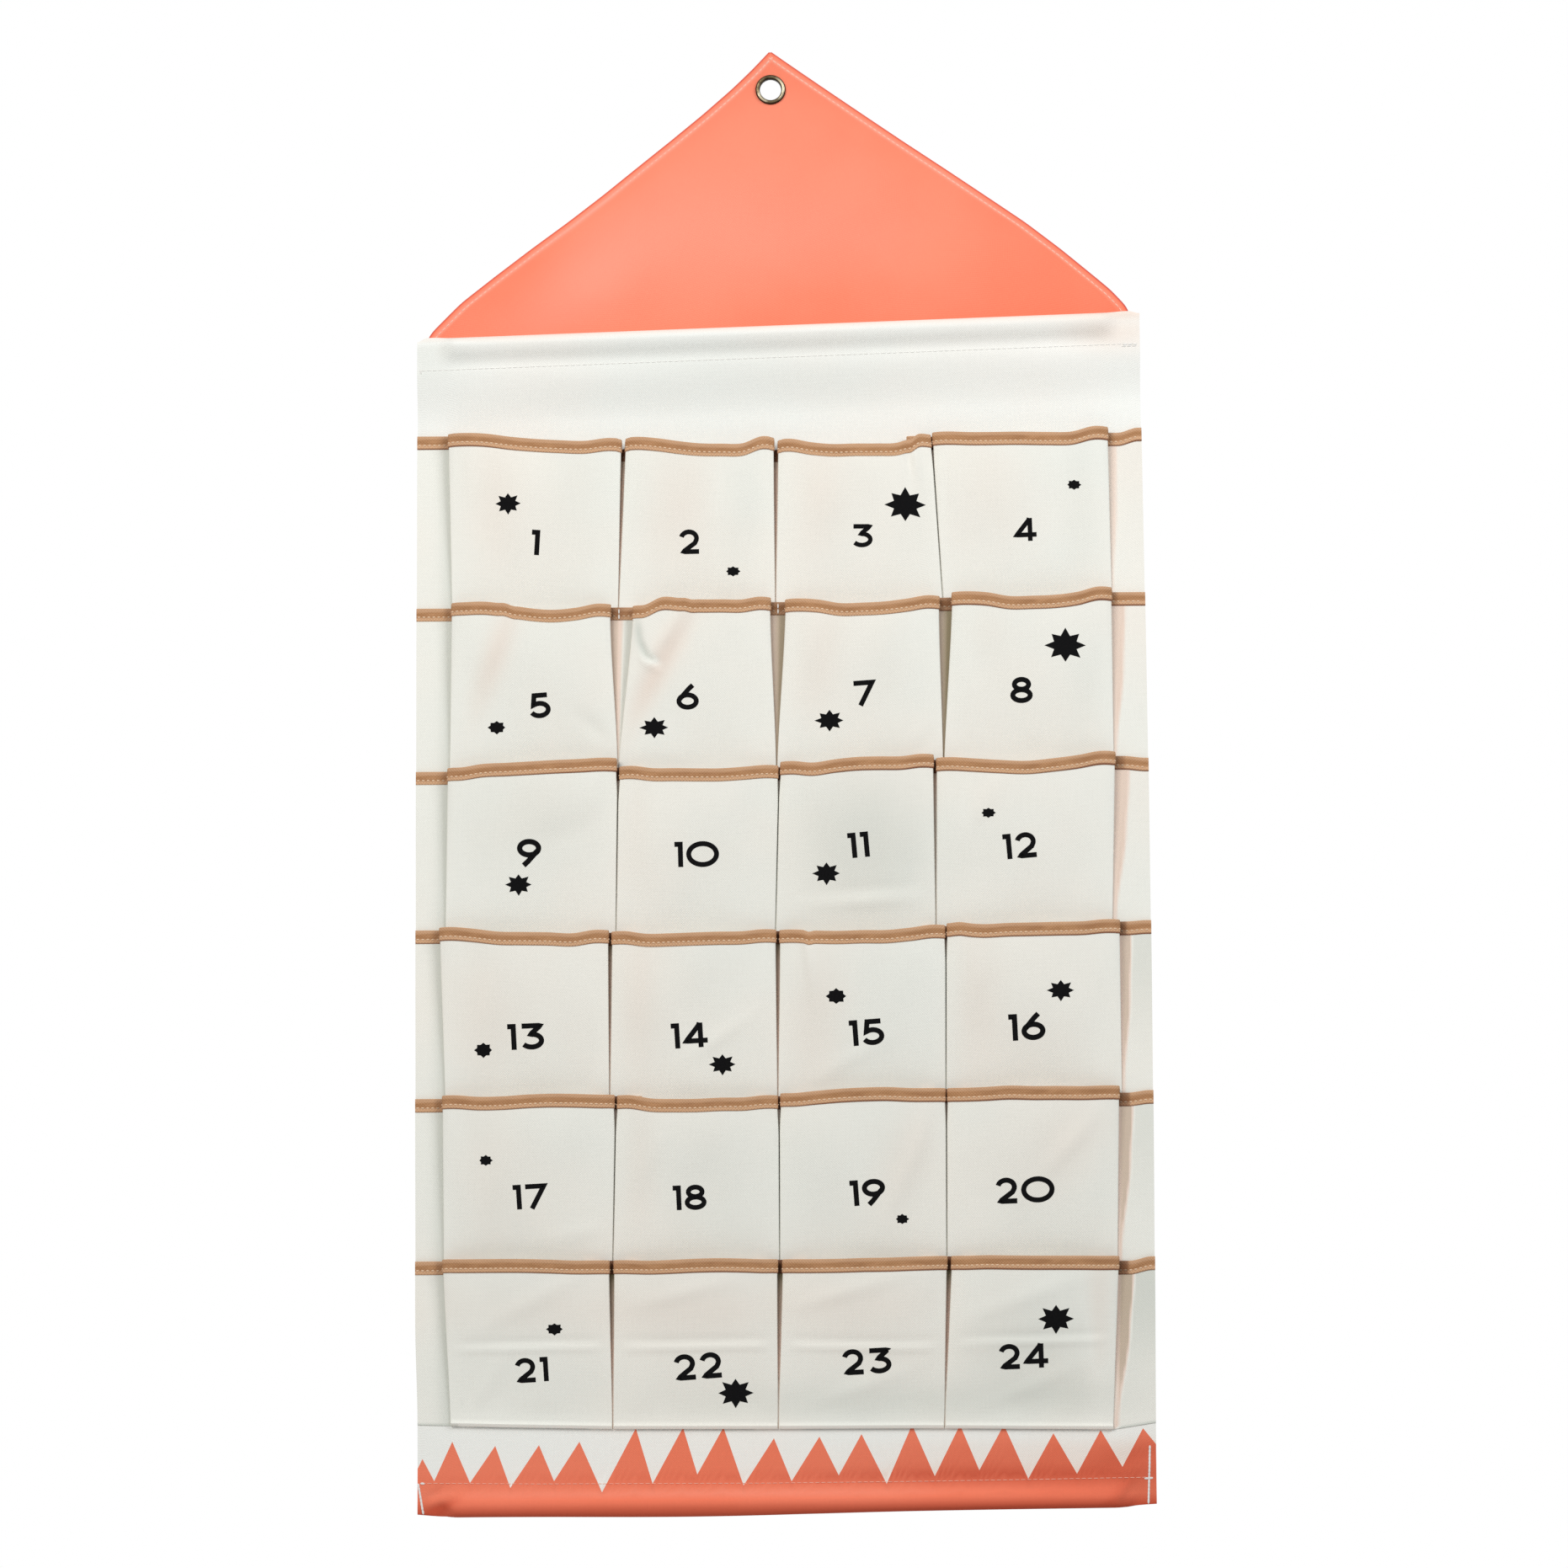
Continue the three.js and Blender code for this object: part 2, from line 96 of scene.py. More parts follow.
# %% [markdown]
# ## Light and floor
# White cloth shows its folds only in soft light with one clear direction, so a broad lamp stands
# in front, to the left and a little above. A weaker, cooler one stands at the right, and the
# world fills the shadows. Rays from the camera see a plain white world, and so do reflections.
# The floor lies far below, out of the picture.

# %% Light the cloth
scene = bpy.context.scene
scene.view_settings.view_transform = "Standard"

world = bpy.data.worlds.new("studio")
scene.world = world
world.use_nodes = True
tree = world.node_tree
tree.nodes.clear()


def world_node(kind, feeds, operation=None):
    """Adds a node. feeds gives a number, a colour or another node's output for each socket."""
    node = tree.nodes.new("ShaderNode" + kind)
    if operation:
        node.operation = operation
    for key, value in feeds.items():
        if isinstance(value, bpy.types.NodeSocket):
            tree.links.new(value, node.inputs[key])
        else:
            node.inputs[key].default_value = value
    return node


path = world_node("LightPath", {}).outputs
seen = world_node("Math", {0: path["Is Camera Ray"], 1: path["Is Glossy Ray"]}, "MAXIMUM")
shown = world_node("Math", {0: seen.outputs[0], 1: path["Is Transmission Ray"]}, "MAXIMUM")
fill_light = world_node("Background", {"Color": (0.97, 0.98, 1.0, 1), "Strength": 0.26})
backdrop = world_node("Background", {"Color": (1, 1, 1, 1), "Strength": 1.0})
either = world_node("MixShader", {0: shown.outputs[0], 1: fill_light.outputs[0], 2: backdrop.outputs[0]})
world_node("OutputWorld", {"Surface": either.outputs[0]})


def lamp(name, place, aim, size, power, colour):
    data = bpy.data.lights.new(name, "AREA")
    data.shape = "SQUARE"
    data.size = size
    data.energy = power
    data.color = colour
    obj = bpy.data.objects.new(name, data)
    bpy.context.collection.objects.link(obj)
    obj.location = place
    obj.rotation_euler = (Vector(aim) - Vector(place)).to_track_quat("-Z", "Y").to_euler()


lamp("key", (-1.1, -1.9, 0.6), (0, 0, -0.40), 1.2, 33.5, (1.0, 0.975, 0.945))
lamp("side", (1.15, -1.05, 0.50), (0.18, 0, -0.22), 0.9, 14.8, (0.93, 0.97, 1.0))

pale = bpy.data.materials.new("pale_floor")
pale.use_nodes = True
pale_surface = pale.node_tree.nodes["Principled BSDF"]
pale_surface.inputs["Base Color"].default_value = (0.80, 0.80, 0.79, 1)
pale_surface.inputs["Roughness"].default_value = 0.9
bpy.ops.mesh.primitive_plane_add(size=4, location=(0, 0, -1.6))
floor = bpy.context.object
floor.name = floor.data.name = "floor"
floor.data.materials.append(pale)

# %% [markdown]
# ## Helpers for cloth
# A sheet starts as Blender's grid primitive. Its columns run along the cloth and its rows run
# down it, so one array of points, worked out from the folds, moves every vertex to its place.
# The lengths measured along those points become the cloth's own map, in metres, and the
# weave follows that map round every fold.

# %% Make, thicken and finish a sheet
def pick(obj=None):
    """Selects one object, or nothing."""
    bpy.ops.object.select_all(action="DESELECT")
    if obj:
        obj.select_set(True)
        bpy.context.view_layer.objects.active = obj


flat_sizes = {}  # of each sheet, before it is thickened: width, length and area in metres


def sheet_from(name, points, second_finish_from=None):
    """A grid whose vertex in column i and row j is moved to points[i][j], given in mm."""
    points = np.asarray(points, float)
    columns, rows = points.shape[0] - 1, points.shape[1] - 1
    pick()
    bpy.ops.mesh.primitive_grid_add(x_subdivisions=columns, y_subdivisions=rows, size=1)
    obj = bpy.context.object
    obj.name = obj.data.name = name
    mesh = obj.data
    flat = np.empty(3 * len(mesh.vertices))
    mesh.vertices.foreach_get("co", flat)
    flat = flat.reshape(-1, 3)
    i = np.rint((flat[:, 0] + 0.5) * columns).astype(int)
    j = np.rint((0.5 - flat[:, 1]) * rows).astype(int)
    along = np.zeros(points.shape[:2])
    along[1:] = np.cumsum(np.linalg.norm(np.diff(points, axis=0), axis=2), axis=0)
    down = np.zeros(points.shape[:2])
    down[:, 1:] = np.cumsum(np.linalg.norm(np.diff(points, axis=1), axis=2), axis=1)
    mesh.vertices.foreach_set("co", (points[i, j] * MM).ravel())
    corner = np.empty(len(mesh.loops), int)
    mesh.loops.foreach_get("vertex_index", corner)
    middle = points.shape[1] // 2
    cloth_map = np.stack([along[i, middle], -down[i, j]], axis=1)[corner] * MM
    mesh.uv_layers[0].name = "cloth"
    mesh.uv_layers[0].data.foreach_set("uv", cloth_map.ravel())
    if second_finish_from is not None:
        face_row = j[corner].reshape(-1, 4).min(axis=1)
        mesh.polygons.foreach_set("material_index", (face_row >= second_finish_from).astype(np.int32))
    mesh.update()
    flat_sizes[name] = (along[-1].mean() * MM, down[:, -1].mean() * MM, sum(face.area for face in mesh.polygons))
    return obj


def apply_modifier(obj, kind, **settings):
    pick(obj)
    modifier = obj.modifiers.new(kind.title(), kind)
    for key, value in settings.items():
        setattr(modifier, key, value)
    bpy.ops.object.modifier_apply(modifier=modifier.name)


def thicken(obj, thickness):
    apply_modifier(obj, "SOLIDIFY", thickness=thickness * MM, offset=0, use_even_offset=True)


def smooth(obj, angle=40):
    pick(obj)
    bpy.ops.object.shade_smooth_by_angle(angle=math.radians(angle))


def piece_from(name, verts, faces):
    """A new object from vertices in metres and faces."""
    mesh = bpy.data.meshes.new(name)
    mesh.from_pydata(verts, [], faces)
    obj = bpy.data.objects.new(name, mesh)
    bpy.context.collection.objects.link(obj)
    return obj


def finish_piece(obj, body, slot, *finishes):
    for finish in finishes:
        obj.data.materials.append(finish.material)
    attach(obj, body)
    print(obj.name, "-", len(obj.data.polygons), "faces, on", body)


def tint(obj, amount):
    """Gives each vertex a tint, amount(x, depth, z) in mm: above 0 is warmer, below 0 cooler. The tints paint light
    and shade into the finishes.
    """
    places = np.empty(3 * len(obj.data.vertices))
    obj.data.vertices.foreach_get("co", places)
    x, y, z = (places.reshape(-1, 3) / MM).T
    layer = obj.data.attributes.new("tint", "FLOAT", "POINT")
    layer.data.foreach_set("value", amount(x, -y, z).astype(np.float32))


# %% [markdown]
# ## Helpers for shapes
# Soft steps, soft patches and smooth curves shape the cloth, the marks in it and its tints.
# Paths are measured along their length, so points can be spread evenly over them. Rays cast
# from the front find the places on the cloth where print and stitches lie.

# %% Shape curves and patches
def patch(x, z, spot):
    """A soft patch: (x, z, half length, half width, slant in degrees, height)."""
    px, pz, long, wide, slant, height = spot
    c, s = math.cos(math.radians(slant)), math.sin(math.radians(slant))
    a, b = (x - px) * c + (z - pz) * s, (z - pz) * c - (x - px) * s
    return height * np.exp(-((a / long) ** 2) - (b / wide) ** 2)


def curve_through(stops, values, at):
    """A smooth curve through values at stops, read at one place or at many."""
    stops, values = np.asarray(stops, float), np.asarray(values, float)
    slopes = np.gradient(values, stops)
    k = np.clip(np.searchsorted(stops, at, side="right") - 1, 0, len(stops) - 2)
    width = stops[k + 1] - stops[k]
    t = np.clip((at - stops[k]) / width, 0, 1)
    return ((2 * t**3 - 3 * t**2 + 1) * values[k] + (t**3 - 2 * t**2 + t) * width * slopes[k]
            + (3 * t**2 - 2 * t**3) * values[k + 1] + (t**3 - t**2) * width * slopes[k + 1])


def ease(low, high, value):
    """0 below low, 1 above high, and a soft step between them."""
    t = np.clip((value - low) / (high - low), 0, 1)
    return t * t * (3 - 2 * t)


# %% Follow paths and cast rays
TO_WALL = Vector((0, 1, 0))
IN_FRONT = -0.1  # where rays start, metres


def arc(cx, cy, rx, ry, start, end, steps):
    """Points on an arc, angles in degrees."""
    turns = [math.radians(a) for a in np.linspace(start, end, steps)]
    return [(cx + rx * math.cos(a), cy + ry * math.sin(a)) for a in turns]


def run_along(path):
    """The length along a path up to each of its points."""
    return np.concatenate([[0], np.cumsum(np.linalg.norm(np.diff(path, axis=0), axis=1))])


def on_path(at, run, path):
    """The places on a path at one or more lengths along it."""
    return np.stack([np.interp(at, run, column) for column in np.transpose(path)], axis=-1)


def spread(path, count):
    """The same path as count evenly spaced points."""
    path = np.array(path, float)
    run = run_along(path)
    return on_path(np.linspace(0, run[-1], count), run, path)


def ray_tree(obj):
    """What rays are cast at to lay print and stitches on a piece."""
    surface = bmesh.new()
    surface.from_mesh(obj.data)
    tree = BVHTree.FromBMesh(surface)
    surface.free()
    return tree


def touch(tree, x, z):
    """Where a ray from the front meets a piece at (x, z) in mm, and the direction out of it."""
    hit, normal, _, _ = tree.ray_cast(Vector((x * MM, IN_FRONT, z * MM)), TO_WALL)
    return hit, normal


print("a path of three points, spread over five:", spread([(0, 0), (3, 0), (3, 1)], 5).tolist())

# %% [markdown]
# ## Helpers for materials
# A finish is a node tree. Typed as a formula it is far easier to read than as a list of links,
# so a number in the tree is wrapped in a small class: using it in a sum or a product adds the
# Math node for it. One method adds any other node.

# %% Write shaders as formulas
class Number:
    """A number in a node tree. Arithmetic on it adds Math nodes."""

    def __init__(self, finish, socket):
        self.finish, self.socket = finish, socket

    def math(self, operation, *others):
        sockets = dict(enumerate((self, *others)))
        return self.finish.add("Math", {"operation": operation}, sockets)

    def __add__(self, other):
        return self.math("ADD", other)

    def __sub__(self, other):
        return self.math("SUBTRACT", other)

    def __rsub__(self, other):
        return self.finish.add("Math", {"operation": "SUBTRACT"}, {0: other, 1: self})

    def __mul__(self, other):
        return self.math("MULTIPLY", other)

    __radd__ = __add__
    __rmul__ = __mul__

    def sine(self):
        return self.math("SINE")

    def second(self):
        """The second output of the same node."""
        return Number(self.finish, self.socket.node.outputs[1])

    def between(self, low, high):
        """0 below low, 1 above high."""
        return self.finish.add("MapRange", {"interpolation_type": "SMOOTHSTEP"},
                               {"Value": self, "From Min": low, "From Max": high})


class Finish:
    """One material and the nodes behind its surface."""

    def __init__(self, name):
        self.material = bpy.data.materials.new(name)
        self.material.use_nodes = True
        self.tree = self.material.node_tree
        self.surface = self.tree.nodes["Principled BSDF"]

    def add(self, kind, settings=None, sockets=None, out=0):
        node = self.tree.nodes.new("ShaderNode" + kind)
        for key, value in (settings or {}).items():
            setattr(node, key, value)
        for key, value in (sockets or {}).items():
            self.feed(node.inputs[key], value)
        return Number(self, node.outputs[out])

    def feed(self, socket, value):
        if isinstance(value, Number):
            self.tree.links.new(value.socket, socket)
        else:
            socket.default_value = value

    def set(self, **values):
        for key, value in values.items():
            self.feed(self.surface.inputs[key.replace("_", " ")], value)

    def mix(self, share, first, second, blend="MIX"):
        kind = {"data_type": "RGBA", "blend_type": blend}
        return self.add("Mix", kind, {0: share, 6: first, 7: second}, out=2)

    def noise(self, vector, scale, detail=2.0):
        return self.add("TexNoise", {}, {"Vector": vector, "Scale": scale, "Detail": detail})

    def stretch(self, vector, scale):
        return self.add("Mapping", {}, {"Vector": vector, "Scale": scale})

    def streaks(self, vector, scale, detail):
        """Noise of a different scale in each direction."""
        return self.noise(self.stretch(vector, scale), 1.0, detail)

    def bump(self, strength, height):
        return self.add("Bump", {}, {"Strength": strength, "Distance": 0.0002, "Height": height})

    def cloth_map(self):
        return self.add("UVMap", {"uv_map": "cloth"})

    def in_body(self):
        """The place in the piece itself, in metres."""
        return self.add("TexCoord", out=3)

    def given_tint(self):
        return self.add("Attribute", {"attribute_name": "tint"}, out=2)

    def weave(self, place, pitch):
        """Bumps in a chequer, pitch metres apart."""
        threads = self.add("VectorMath", {"operation": "SCALE"}, {0: place, "Scale": math.pi / pitch})
        across = self.add("SeparateXYZ", {}, {0: threads})
        return across.sine() * across.second().sine()


def srgb(red, green, blue):
    def linear(level):
        level /= 255
        return level / 12.92 if level <= 0.04045 else ((level + 0.055) / 1.055) ** 2.4

    return (linear(red), linear(green), linear(blue), 1)


# %% [markdown]
# ## Canvas, tape and thread
# Canvas is a plain weave: threads pass over and under each other in a chequer of small bumps.
# Two sine waves, multiplied, give that chequer, and a stretched noise makes some threads thicker
# than others. Over that, washed and folded cotton is never one colour, so broad noise mixes a
# warm and a cool tone of it.

# %% Weave the cloths
THREAD_PITCH = 0.00075  # metres
GAP_TONE = (0.965, 0.965, 0.965, 1)  # of the gaps between threads, against the threads


def cloth_finish(name, first, second, warm, cool, painted_shade=None):
    """first and second are mixed by slow noise. The mesh's own tint paints light and shade: it leads on
    to cool below 0, to warm up to 1 and to the darkest colour, of painted shade, up to 2. Colours are sRGB levels."""
    cloth = Finish(name)
    place = cloth.cloth_map()
    bumps = cloth.weave(place, THREAD_PITCH)
    along = cloth.streaks(place, (60.0, 900.0, 1.0), 1.0)
    upright = cloth.streaks(place, (900.0, 60.0, 1.0), 1.0)
    broad = cloth.noise(cloth.in_body(), 8.0, 3.0).between(0.35, 0.65)
    given = cloth.given_tint()
    tone = cloth.mix(broad, srgb(*first), srgb(*second))
    tone = cloth.mix(given.math("MAXIMUM", 0.0), tone, srgb(*warm))
    tone = cloth.mix((given * -1.0).math("MAXIMUM", 0.0), tone, srgb(*cool))
    # a tint above 1 leads on to painted shade, darkest in the pleats' recesses and on the gable's rolled edge
    if painted_shade:
        tone = cloth.mix((given - 1.0).math("MAXIMUM", 0.0), tone, srgb(*painted_shade))
    uneven = (along + upright).between(0.55, 1.25) * 0.6 + bumps.between(-1.0, 0.4) * 0.4
    thread_tone = cloth.mix(uneven, GAP_TONE, (1, 1, 1, 1))
    colour = cloth.mix(1.0, tone, thread_tone, "MULTIPLY")
    rise = cloth.bump(0.4, bumps * 0.6 + along * 0.5 + upright * 0.5)
    cloth.set(Base_Color=colour, Roughness=0.9, Specular_IOR_Level=0.2, Normal=rise)
    return cloth


# The warm, cool and last colours are reached through each mesh's tint and paint light and shade: on the white canvas
# a pink painted warm light, a cooler painted shade and an olive brown painted shade in the recesses; on the panel a
# pink painted reflection of the gable and a cooler painted shade; on the coral canvas a darker painted shade, a
# lighter painted highlight and the darkest painted shade on the rolled edge; on the print a darker painted shade and
# a lighter painted highlight.
white_canvas = cloth_finish("white_canvas", (246, 243, 234), (243, 243, 235), (240, 218, 203), (215, 218, 209),
                            (110, 106, 45))
panel_canvas = cloth_finish("panel_canvas", (248, 246, 240), (246, 247, 242), (240, 218, 203), (218, 221, 214))
coral_canvas = cloth_finish("coral_canvas", (255, 138, 108), (255, 145, 116), (250, 122, 90), (255, 170, 149),
                            (205, 88, 84))
coral_print = cloth_finish("coral_print", (244, 128, 97), (245, 132, 102), (203, 86, 60), (252, 155, 130))
print("cloths:", [m.name for m in bpy.data.materials if "_canvas" in m.name or "_print" in m.name])

# %% Weave the tape
TAPE_FOOT = 0.0156  # metres down the tape's sheet to its lower edge
RIB_PITCH = 0.0009

brown_tape = Finish("brown_tape")
place = brown_tape.cloth_map()
worn = brown_tape.streaks(place, (90.0, 700.0, 1.0), 3.0)
broad = brown_tape.streaks(place, (45.0, 160.0, 1.0), 2.0)
fall = brown_tape.add("SeparateXYZ", {}, {0: place}).second() * -1.0
bands = ((0.0037, 0.0022), (0.0072, 0.0056), (0.0014, 0.0002))  # from and to, metres above the foot
above = [fall.between(TAPE_FOOT - high, TAPE_FOOT - low) for high, low in bands]
tone = brown_tape.mix(worn.between(0.3, 0.7), srgb(176, 129, 89), srgb(191, 143, 103))
for share, colour in (
    (broad.between(0.4, 0.75) * 0.55, (158, 111, 75)),
    (above[0] * 0.75, (226, 182, 144)),  # light where it is stitched
    (0.55 - above[1] * 0.55, (216, 176, 142)),  # painted highlight at its fold
    (above[2] * 0.9, (128, 76, 52)),  # painted shade at its lower edge
    # painted shade from the mesh's tint, in the pleats and beside the outer pockets
    (brown_tape.given_tint(), (86, 42, 20)),
):
    tone = brown_tape.mix(share, tone, srgb(*colour))
brown_tape.set(Base_Color=tone, Roughness=0.85, Specular_IOR_Level=0.25,
               Normal=brown_tape.bump(0.7, brown_tape.weave(place, RIB_PITCH) + worn))
print("tape: edge", 1000 * TAPE_FOOT, "mm down its sheet, bands", bands)


# %% Twist the thread and mix the ink
def thread_finish(name, colour):
    thread = Finish(name)
    darker = tuple(0.8 * c for c in colour[:3]) + (1,)
    tone = thread.mix(thread.noise(thread.in_body(), 1500.0, 1.0), darker, colour)
    # painted shade from the mesh's tint, on stitches in the pleats
    tone = thread.mix(thread.given_tint(), tone, srgb(60, 34, 22))
    thread.set(Base_Color=tone, Roughness=0.7, Specular_IOR_Level=0.3)
    return thread


tape_thread = thread_finish("tape_thread", srgb(240, 206, 172))
white_thread = thread_finish("white_thread", srgb(246, 244, 240))
coral_thread = thread_finish("coral_thread", srgb(255, 196, 174))

ink = Finish("black_ink")
ink_speck = ink.noise(ink.in_body(), 2500.0, 1.0).between(0.3, 0.8)
ink.set(Base_Color=ink.mix(ink_speck, srgb(10, 10, 11), srgb(21, 20, 21)), Roughness=0.85, Specular_IOR_Level=0.08)
print("finishes:", [m.name for m in bpy.data.materials if m.use_nodes][-8:])

# %% [markdown]
# ## Brass and wood
# The eyelet is old-looking brass: bright where it is rubbed on its crown, dark and brown in its
# hollows. The rods are plain turned wood, with grain that runs along them.

# %% Mix the hard finishes
brass = Finish("brass")
brass_place = brass.in_body()
tarnish = brass.noise(brass_place, 260.0, 4.0).between(0.4, 0.7)
rubbed = brass.noise(brass_place, 85.0, 1.0).between(0.45, 0.58)
scratches = brass.streaks(brass_place, (900.0, 120.0, 900.0), 2.0)
from_axis = brass.stretch(brass_place, (1.0, 0.0, 1.0))
radius = brass.add("VectorMath", {"operation": "LENGTH"}, {0: from_axis}, out=1)
crown = radius.between(0.0068, 0.0076) * (1.0 - radius.between(0.0084, 0.0093))
metal = brass.mix(tarnish, srgb(106, 93, 70), srgb(62, 52, 38))
metal = brass.mix(rubbed * crown, metal, srgb(168, 158, 134))
metal = brass.mix(crown, brass.mix(tarnish, srgb(52, 40, 27), srgb(34, 26, 18)), metal)
brass.set(Base_Color=metal, Metallic=1.0, Roughness=tarnish * 0.2 + scratches * 0.15 + 0.22)

wood = Finish("wood")
grain = wood.streaks(wood.in_body(), (12.0, 420.0, 420.0), 4.0).between(0.3, 0.75)
wood_tone = wood.mix(grain, srgb(222, 190, 143), srgb(186, 146, 98))
wood.set(Base_Color=wood_tone, Roughness=0.62, Normal=wood.bump(0.3, grain))
for name in ("top_rod", "bottom_rod"):
    rod = frame["nodes"][name]
    rod.data.materials.clear()
    rod.data.materials.append(wood.material)
    print(name, "keeps its CAD shape:", len(rod.data.polygons), "faces")

# %% [markdown]
# ## The eyelet and its washer
# An eyelet is one piece of sheet brass: a barrel goes through the cloth, its front edge is rolled
# over into a domed flange, and behind the cloth it is clinched over a washer. Both are round, so
# each is drawn as half a section and spun about the hole's axis.

# %% Spin the eyelet
HOLE = 6.7  # radius, mm


def spun(name, section, steps=96):
    """Spins a closed section of [radius, depth] points about the Y axis."""
    pick()
    bpy.ops.mesh.primitive_circle_add(vertices=len(section), radius=MM)
    obj = bpy.context.object
    obj.name = obj.data.name = name
    for vertex, (radius, depth) in zip(obj.data.vertices, section):
        vertex.co = (radius * MM, -depth * MM, 0)
    bpy.ops.object.mode_set(mode="EDIT")
    bpy.ops.mesh.select_all(action="SELECT")
    bpy.ops.mesh.spin(steps=steps, angle=2 * math.pi, center=(0, 0, 0), axis=(0, 1, 0))
    bpy.ops.mesh.select_all(action="SELECT")
    bpy.ops.mesh.remove_doubles(threshold=0.00001)
    bpy.ops.mesh.normals_make_consistent(inside=False)
    bpy.ops.object.mode_set(mode="OBJECT")
    smooth(obj, 50)
    return obj


flange = arc(8.1, 2.25, 1.4, 1.45, 180, 0, 13)
under_flange = [(9.35, 2.02), (8.6, 2.02), (7.2, 2.05), (7.2, 0.62), (8.3, 0.55)]
clinch = arc(8.3, 0.32, 0.25, 0.23, 80, -80, 5) + [(7.3, 0.06)]
eyelet_section = [(HOLE, 0.35), (HOLE, 1.2)] + flange + under_flange + clinch
eyelet = spun("eyelet_brass", eyelet_section)
finish_piece(eyelet, "roof", "brass", brass)
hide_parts("eyelet")

washer_section = [(7.6, 0.62), (7.6, 0.98), (7.9, 1.08), (8.9, 1.08), (9.25, 0.95), (9.3, 0.78), (9.1, 0.62)]
washer = spun("washer_brass", washer_section)
finish_piece(washer, "roof", "brass", brass)
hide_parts("eyelet_washer")

# %% [markdown]
# ## The gable
# The gable is one layer of coral canvas. Its two sloping edges are turned to the back and
# stitched, so they are double and rounded, and they bow a little where the hem pulls. The sheet
# is a grid from the tip down to the fold line behind the header. Its outer columns go round the
# edge and come back behind it, which makes the hem in the same cloth.

# %% Measure the gable's edges
LEFT_EDGE = [(-0.6, 24.1), (-4.6, 19.8), (-11.8, 12.2), (-24.0, 0.4), (-42.4, -15.8), (-63.2, -33.0), (-84.4, -50.1),
             (-105.5, -67.3), (-127.6, -84.4), (-150.8, -101.5), (-173.0, -118.5), (-194.7, -135.6), (-203.1, -144.1),
             (-209.4, -150.5), (-214.4, -155.6), (-215.6, -159.0)]
RIGHT_EDGE = [(0.4, 24.1), (6.5, 19.7), (17.3, 12.0), (34.3, 0.0), (57.9, -16.5), (83.1, -34.0), (108.8, -51.4),
              (134.2, -68.9), (159.3, -86.3), (181.6, -103.7), (202.1, -121.0), (212.3, -129.7), (220.3, -138.4),
              (223.2, -141.6), (223.6, -144.6)]
PANEL_LEFT, PANEL_RIGHT, PANEL_MIDDLE = -222.0, 230.0, 4.0
ROOF_SLOPE = 14.7 / 452


def roof_line(x):
    return -151.7 + (x - PANEL_MIDDLE) * ROOF_SLOPE


def edge_curve(stops, samples):
    """The edge as evenly spaced points, and the direction square to it, to the inside."""
    points = spread(stops, samples)
    for _ in range(4):  # the corners between the measured points are rounded off
        points[1:-1] = (points[:-2] + 2 * points[1:-1] + points[2:]) / 4
    along = np.gradient(points, axis=0)
    along /= np.linalg.norm(along, axis=1)[:, None]
    inward = np.stack([along[:, 1], -along[:, 0]], axis=1)
    inward *= -np.sign(points[:, :1] * inward[:, :1])
    return points, inward


GABLE_ROWS = 130
left_edge, left_inward = edge_curve(LEFT_EDGE, GABLE_ROWS)
right_edge, right_inward = edge_curve(RIGHT_EDGE, GABLE_ROWS)
print("gable:", left_edge[0].round(1), left_edge[-1].round(1), right_edge[-1].round(1))

# %% [markdown]
# The cloth is not flat: it dips softly between the eyelet, which carries the weight, and the
# rod, which holds the base straight. Slow noise gives those dips, and fades out at the edges,
# round the eyelet and at the base.

# %% Lay the gable's cloth
GABLE_DEPTH = 1.7  # middle of the cloth, forward from the wall
HEM = 5.5
HEM_GAP = 0.55  # from the middle of the cloth to the middle of its hem
BEHIND = 5.1  # how far the cloth goes down behind the header's edge


def gable_wave(x, z, inside):
    far = ease(12, 45, math.hypot(x, z))
    base = ease(0, 25, z - roof_line(x))
    swell = noise.noise(Vector((x / 90, 0.3, z / 60))) + 0.5 * noise.noise(Vector((x / 35, 7.1, z / 40)))
    return 1.5 * far * base * ease(0, 20, inside) * (swell + 0.55)


def round_hem(edge, inward, hem):
    """One row's points from the end of the hem, round the edge, to the front."""
    points = []
    for t in np.linspace(1, 0, 5)[:-1]:
        x, z = edge + (hem - edge) * (t * 0.95 + 0.05)
        points.append((x, GABLE_DEPTH - HEM_GAP, z))
    for turned in np.linspace(-90, 90, 7)[1:-1]:
        bow = HEM_GAP / 2 * math.cos(math.radians(turned))
        depth = GABLE_DEPTH - HEM_GAP / 2 + HEM_GAP / 2 * math.sin(math.radians(turned))
        points.append((edge[0] - inward[0] * bow, depth, edge[1] - inward[1] * bow))
    return points


gable_points = []
for left, right, left_in, right_in in zip(left_edge, right_edge, left_inward, right_inward):
    hem_left, hem_right = left + left_in * HEM, right + right_in * HEM
    hem_left[0], hem_right[0] = min(hem_left[0], -0.6), max(hem_right[0], 0.6)
    front = []
    for t in np.linspace(0.002, 0.998, 121):
        t -= 0.8 * math.sin(2 * math.pi * t) / (2 * math.pi)  # closer together at both edges
        x, z = left + (right - left) * t
        inside = min(t, 1 - t) * (right[0] - left[0]) * 0.7
        over_hem = 0.3 * (1 - ease(4.2, 6.4, inside)) * ease(0, 1.5, inside)
        over_hem -= 0.3 * math.exp(-(((inside - 3.6) / 0.8) ** 2))
        front.append((x, GABLE_DEPTH + gable_wave(x, z, inside) + over_hem, z))
    gable_points.append(round_hem(left, left_in, hem_left) + front + round_hem(right, right_in, hem_right)[::-1])

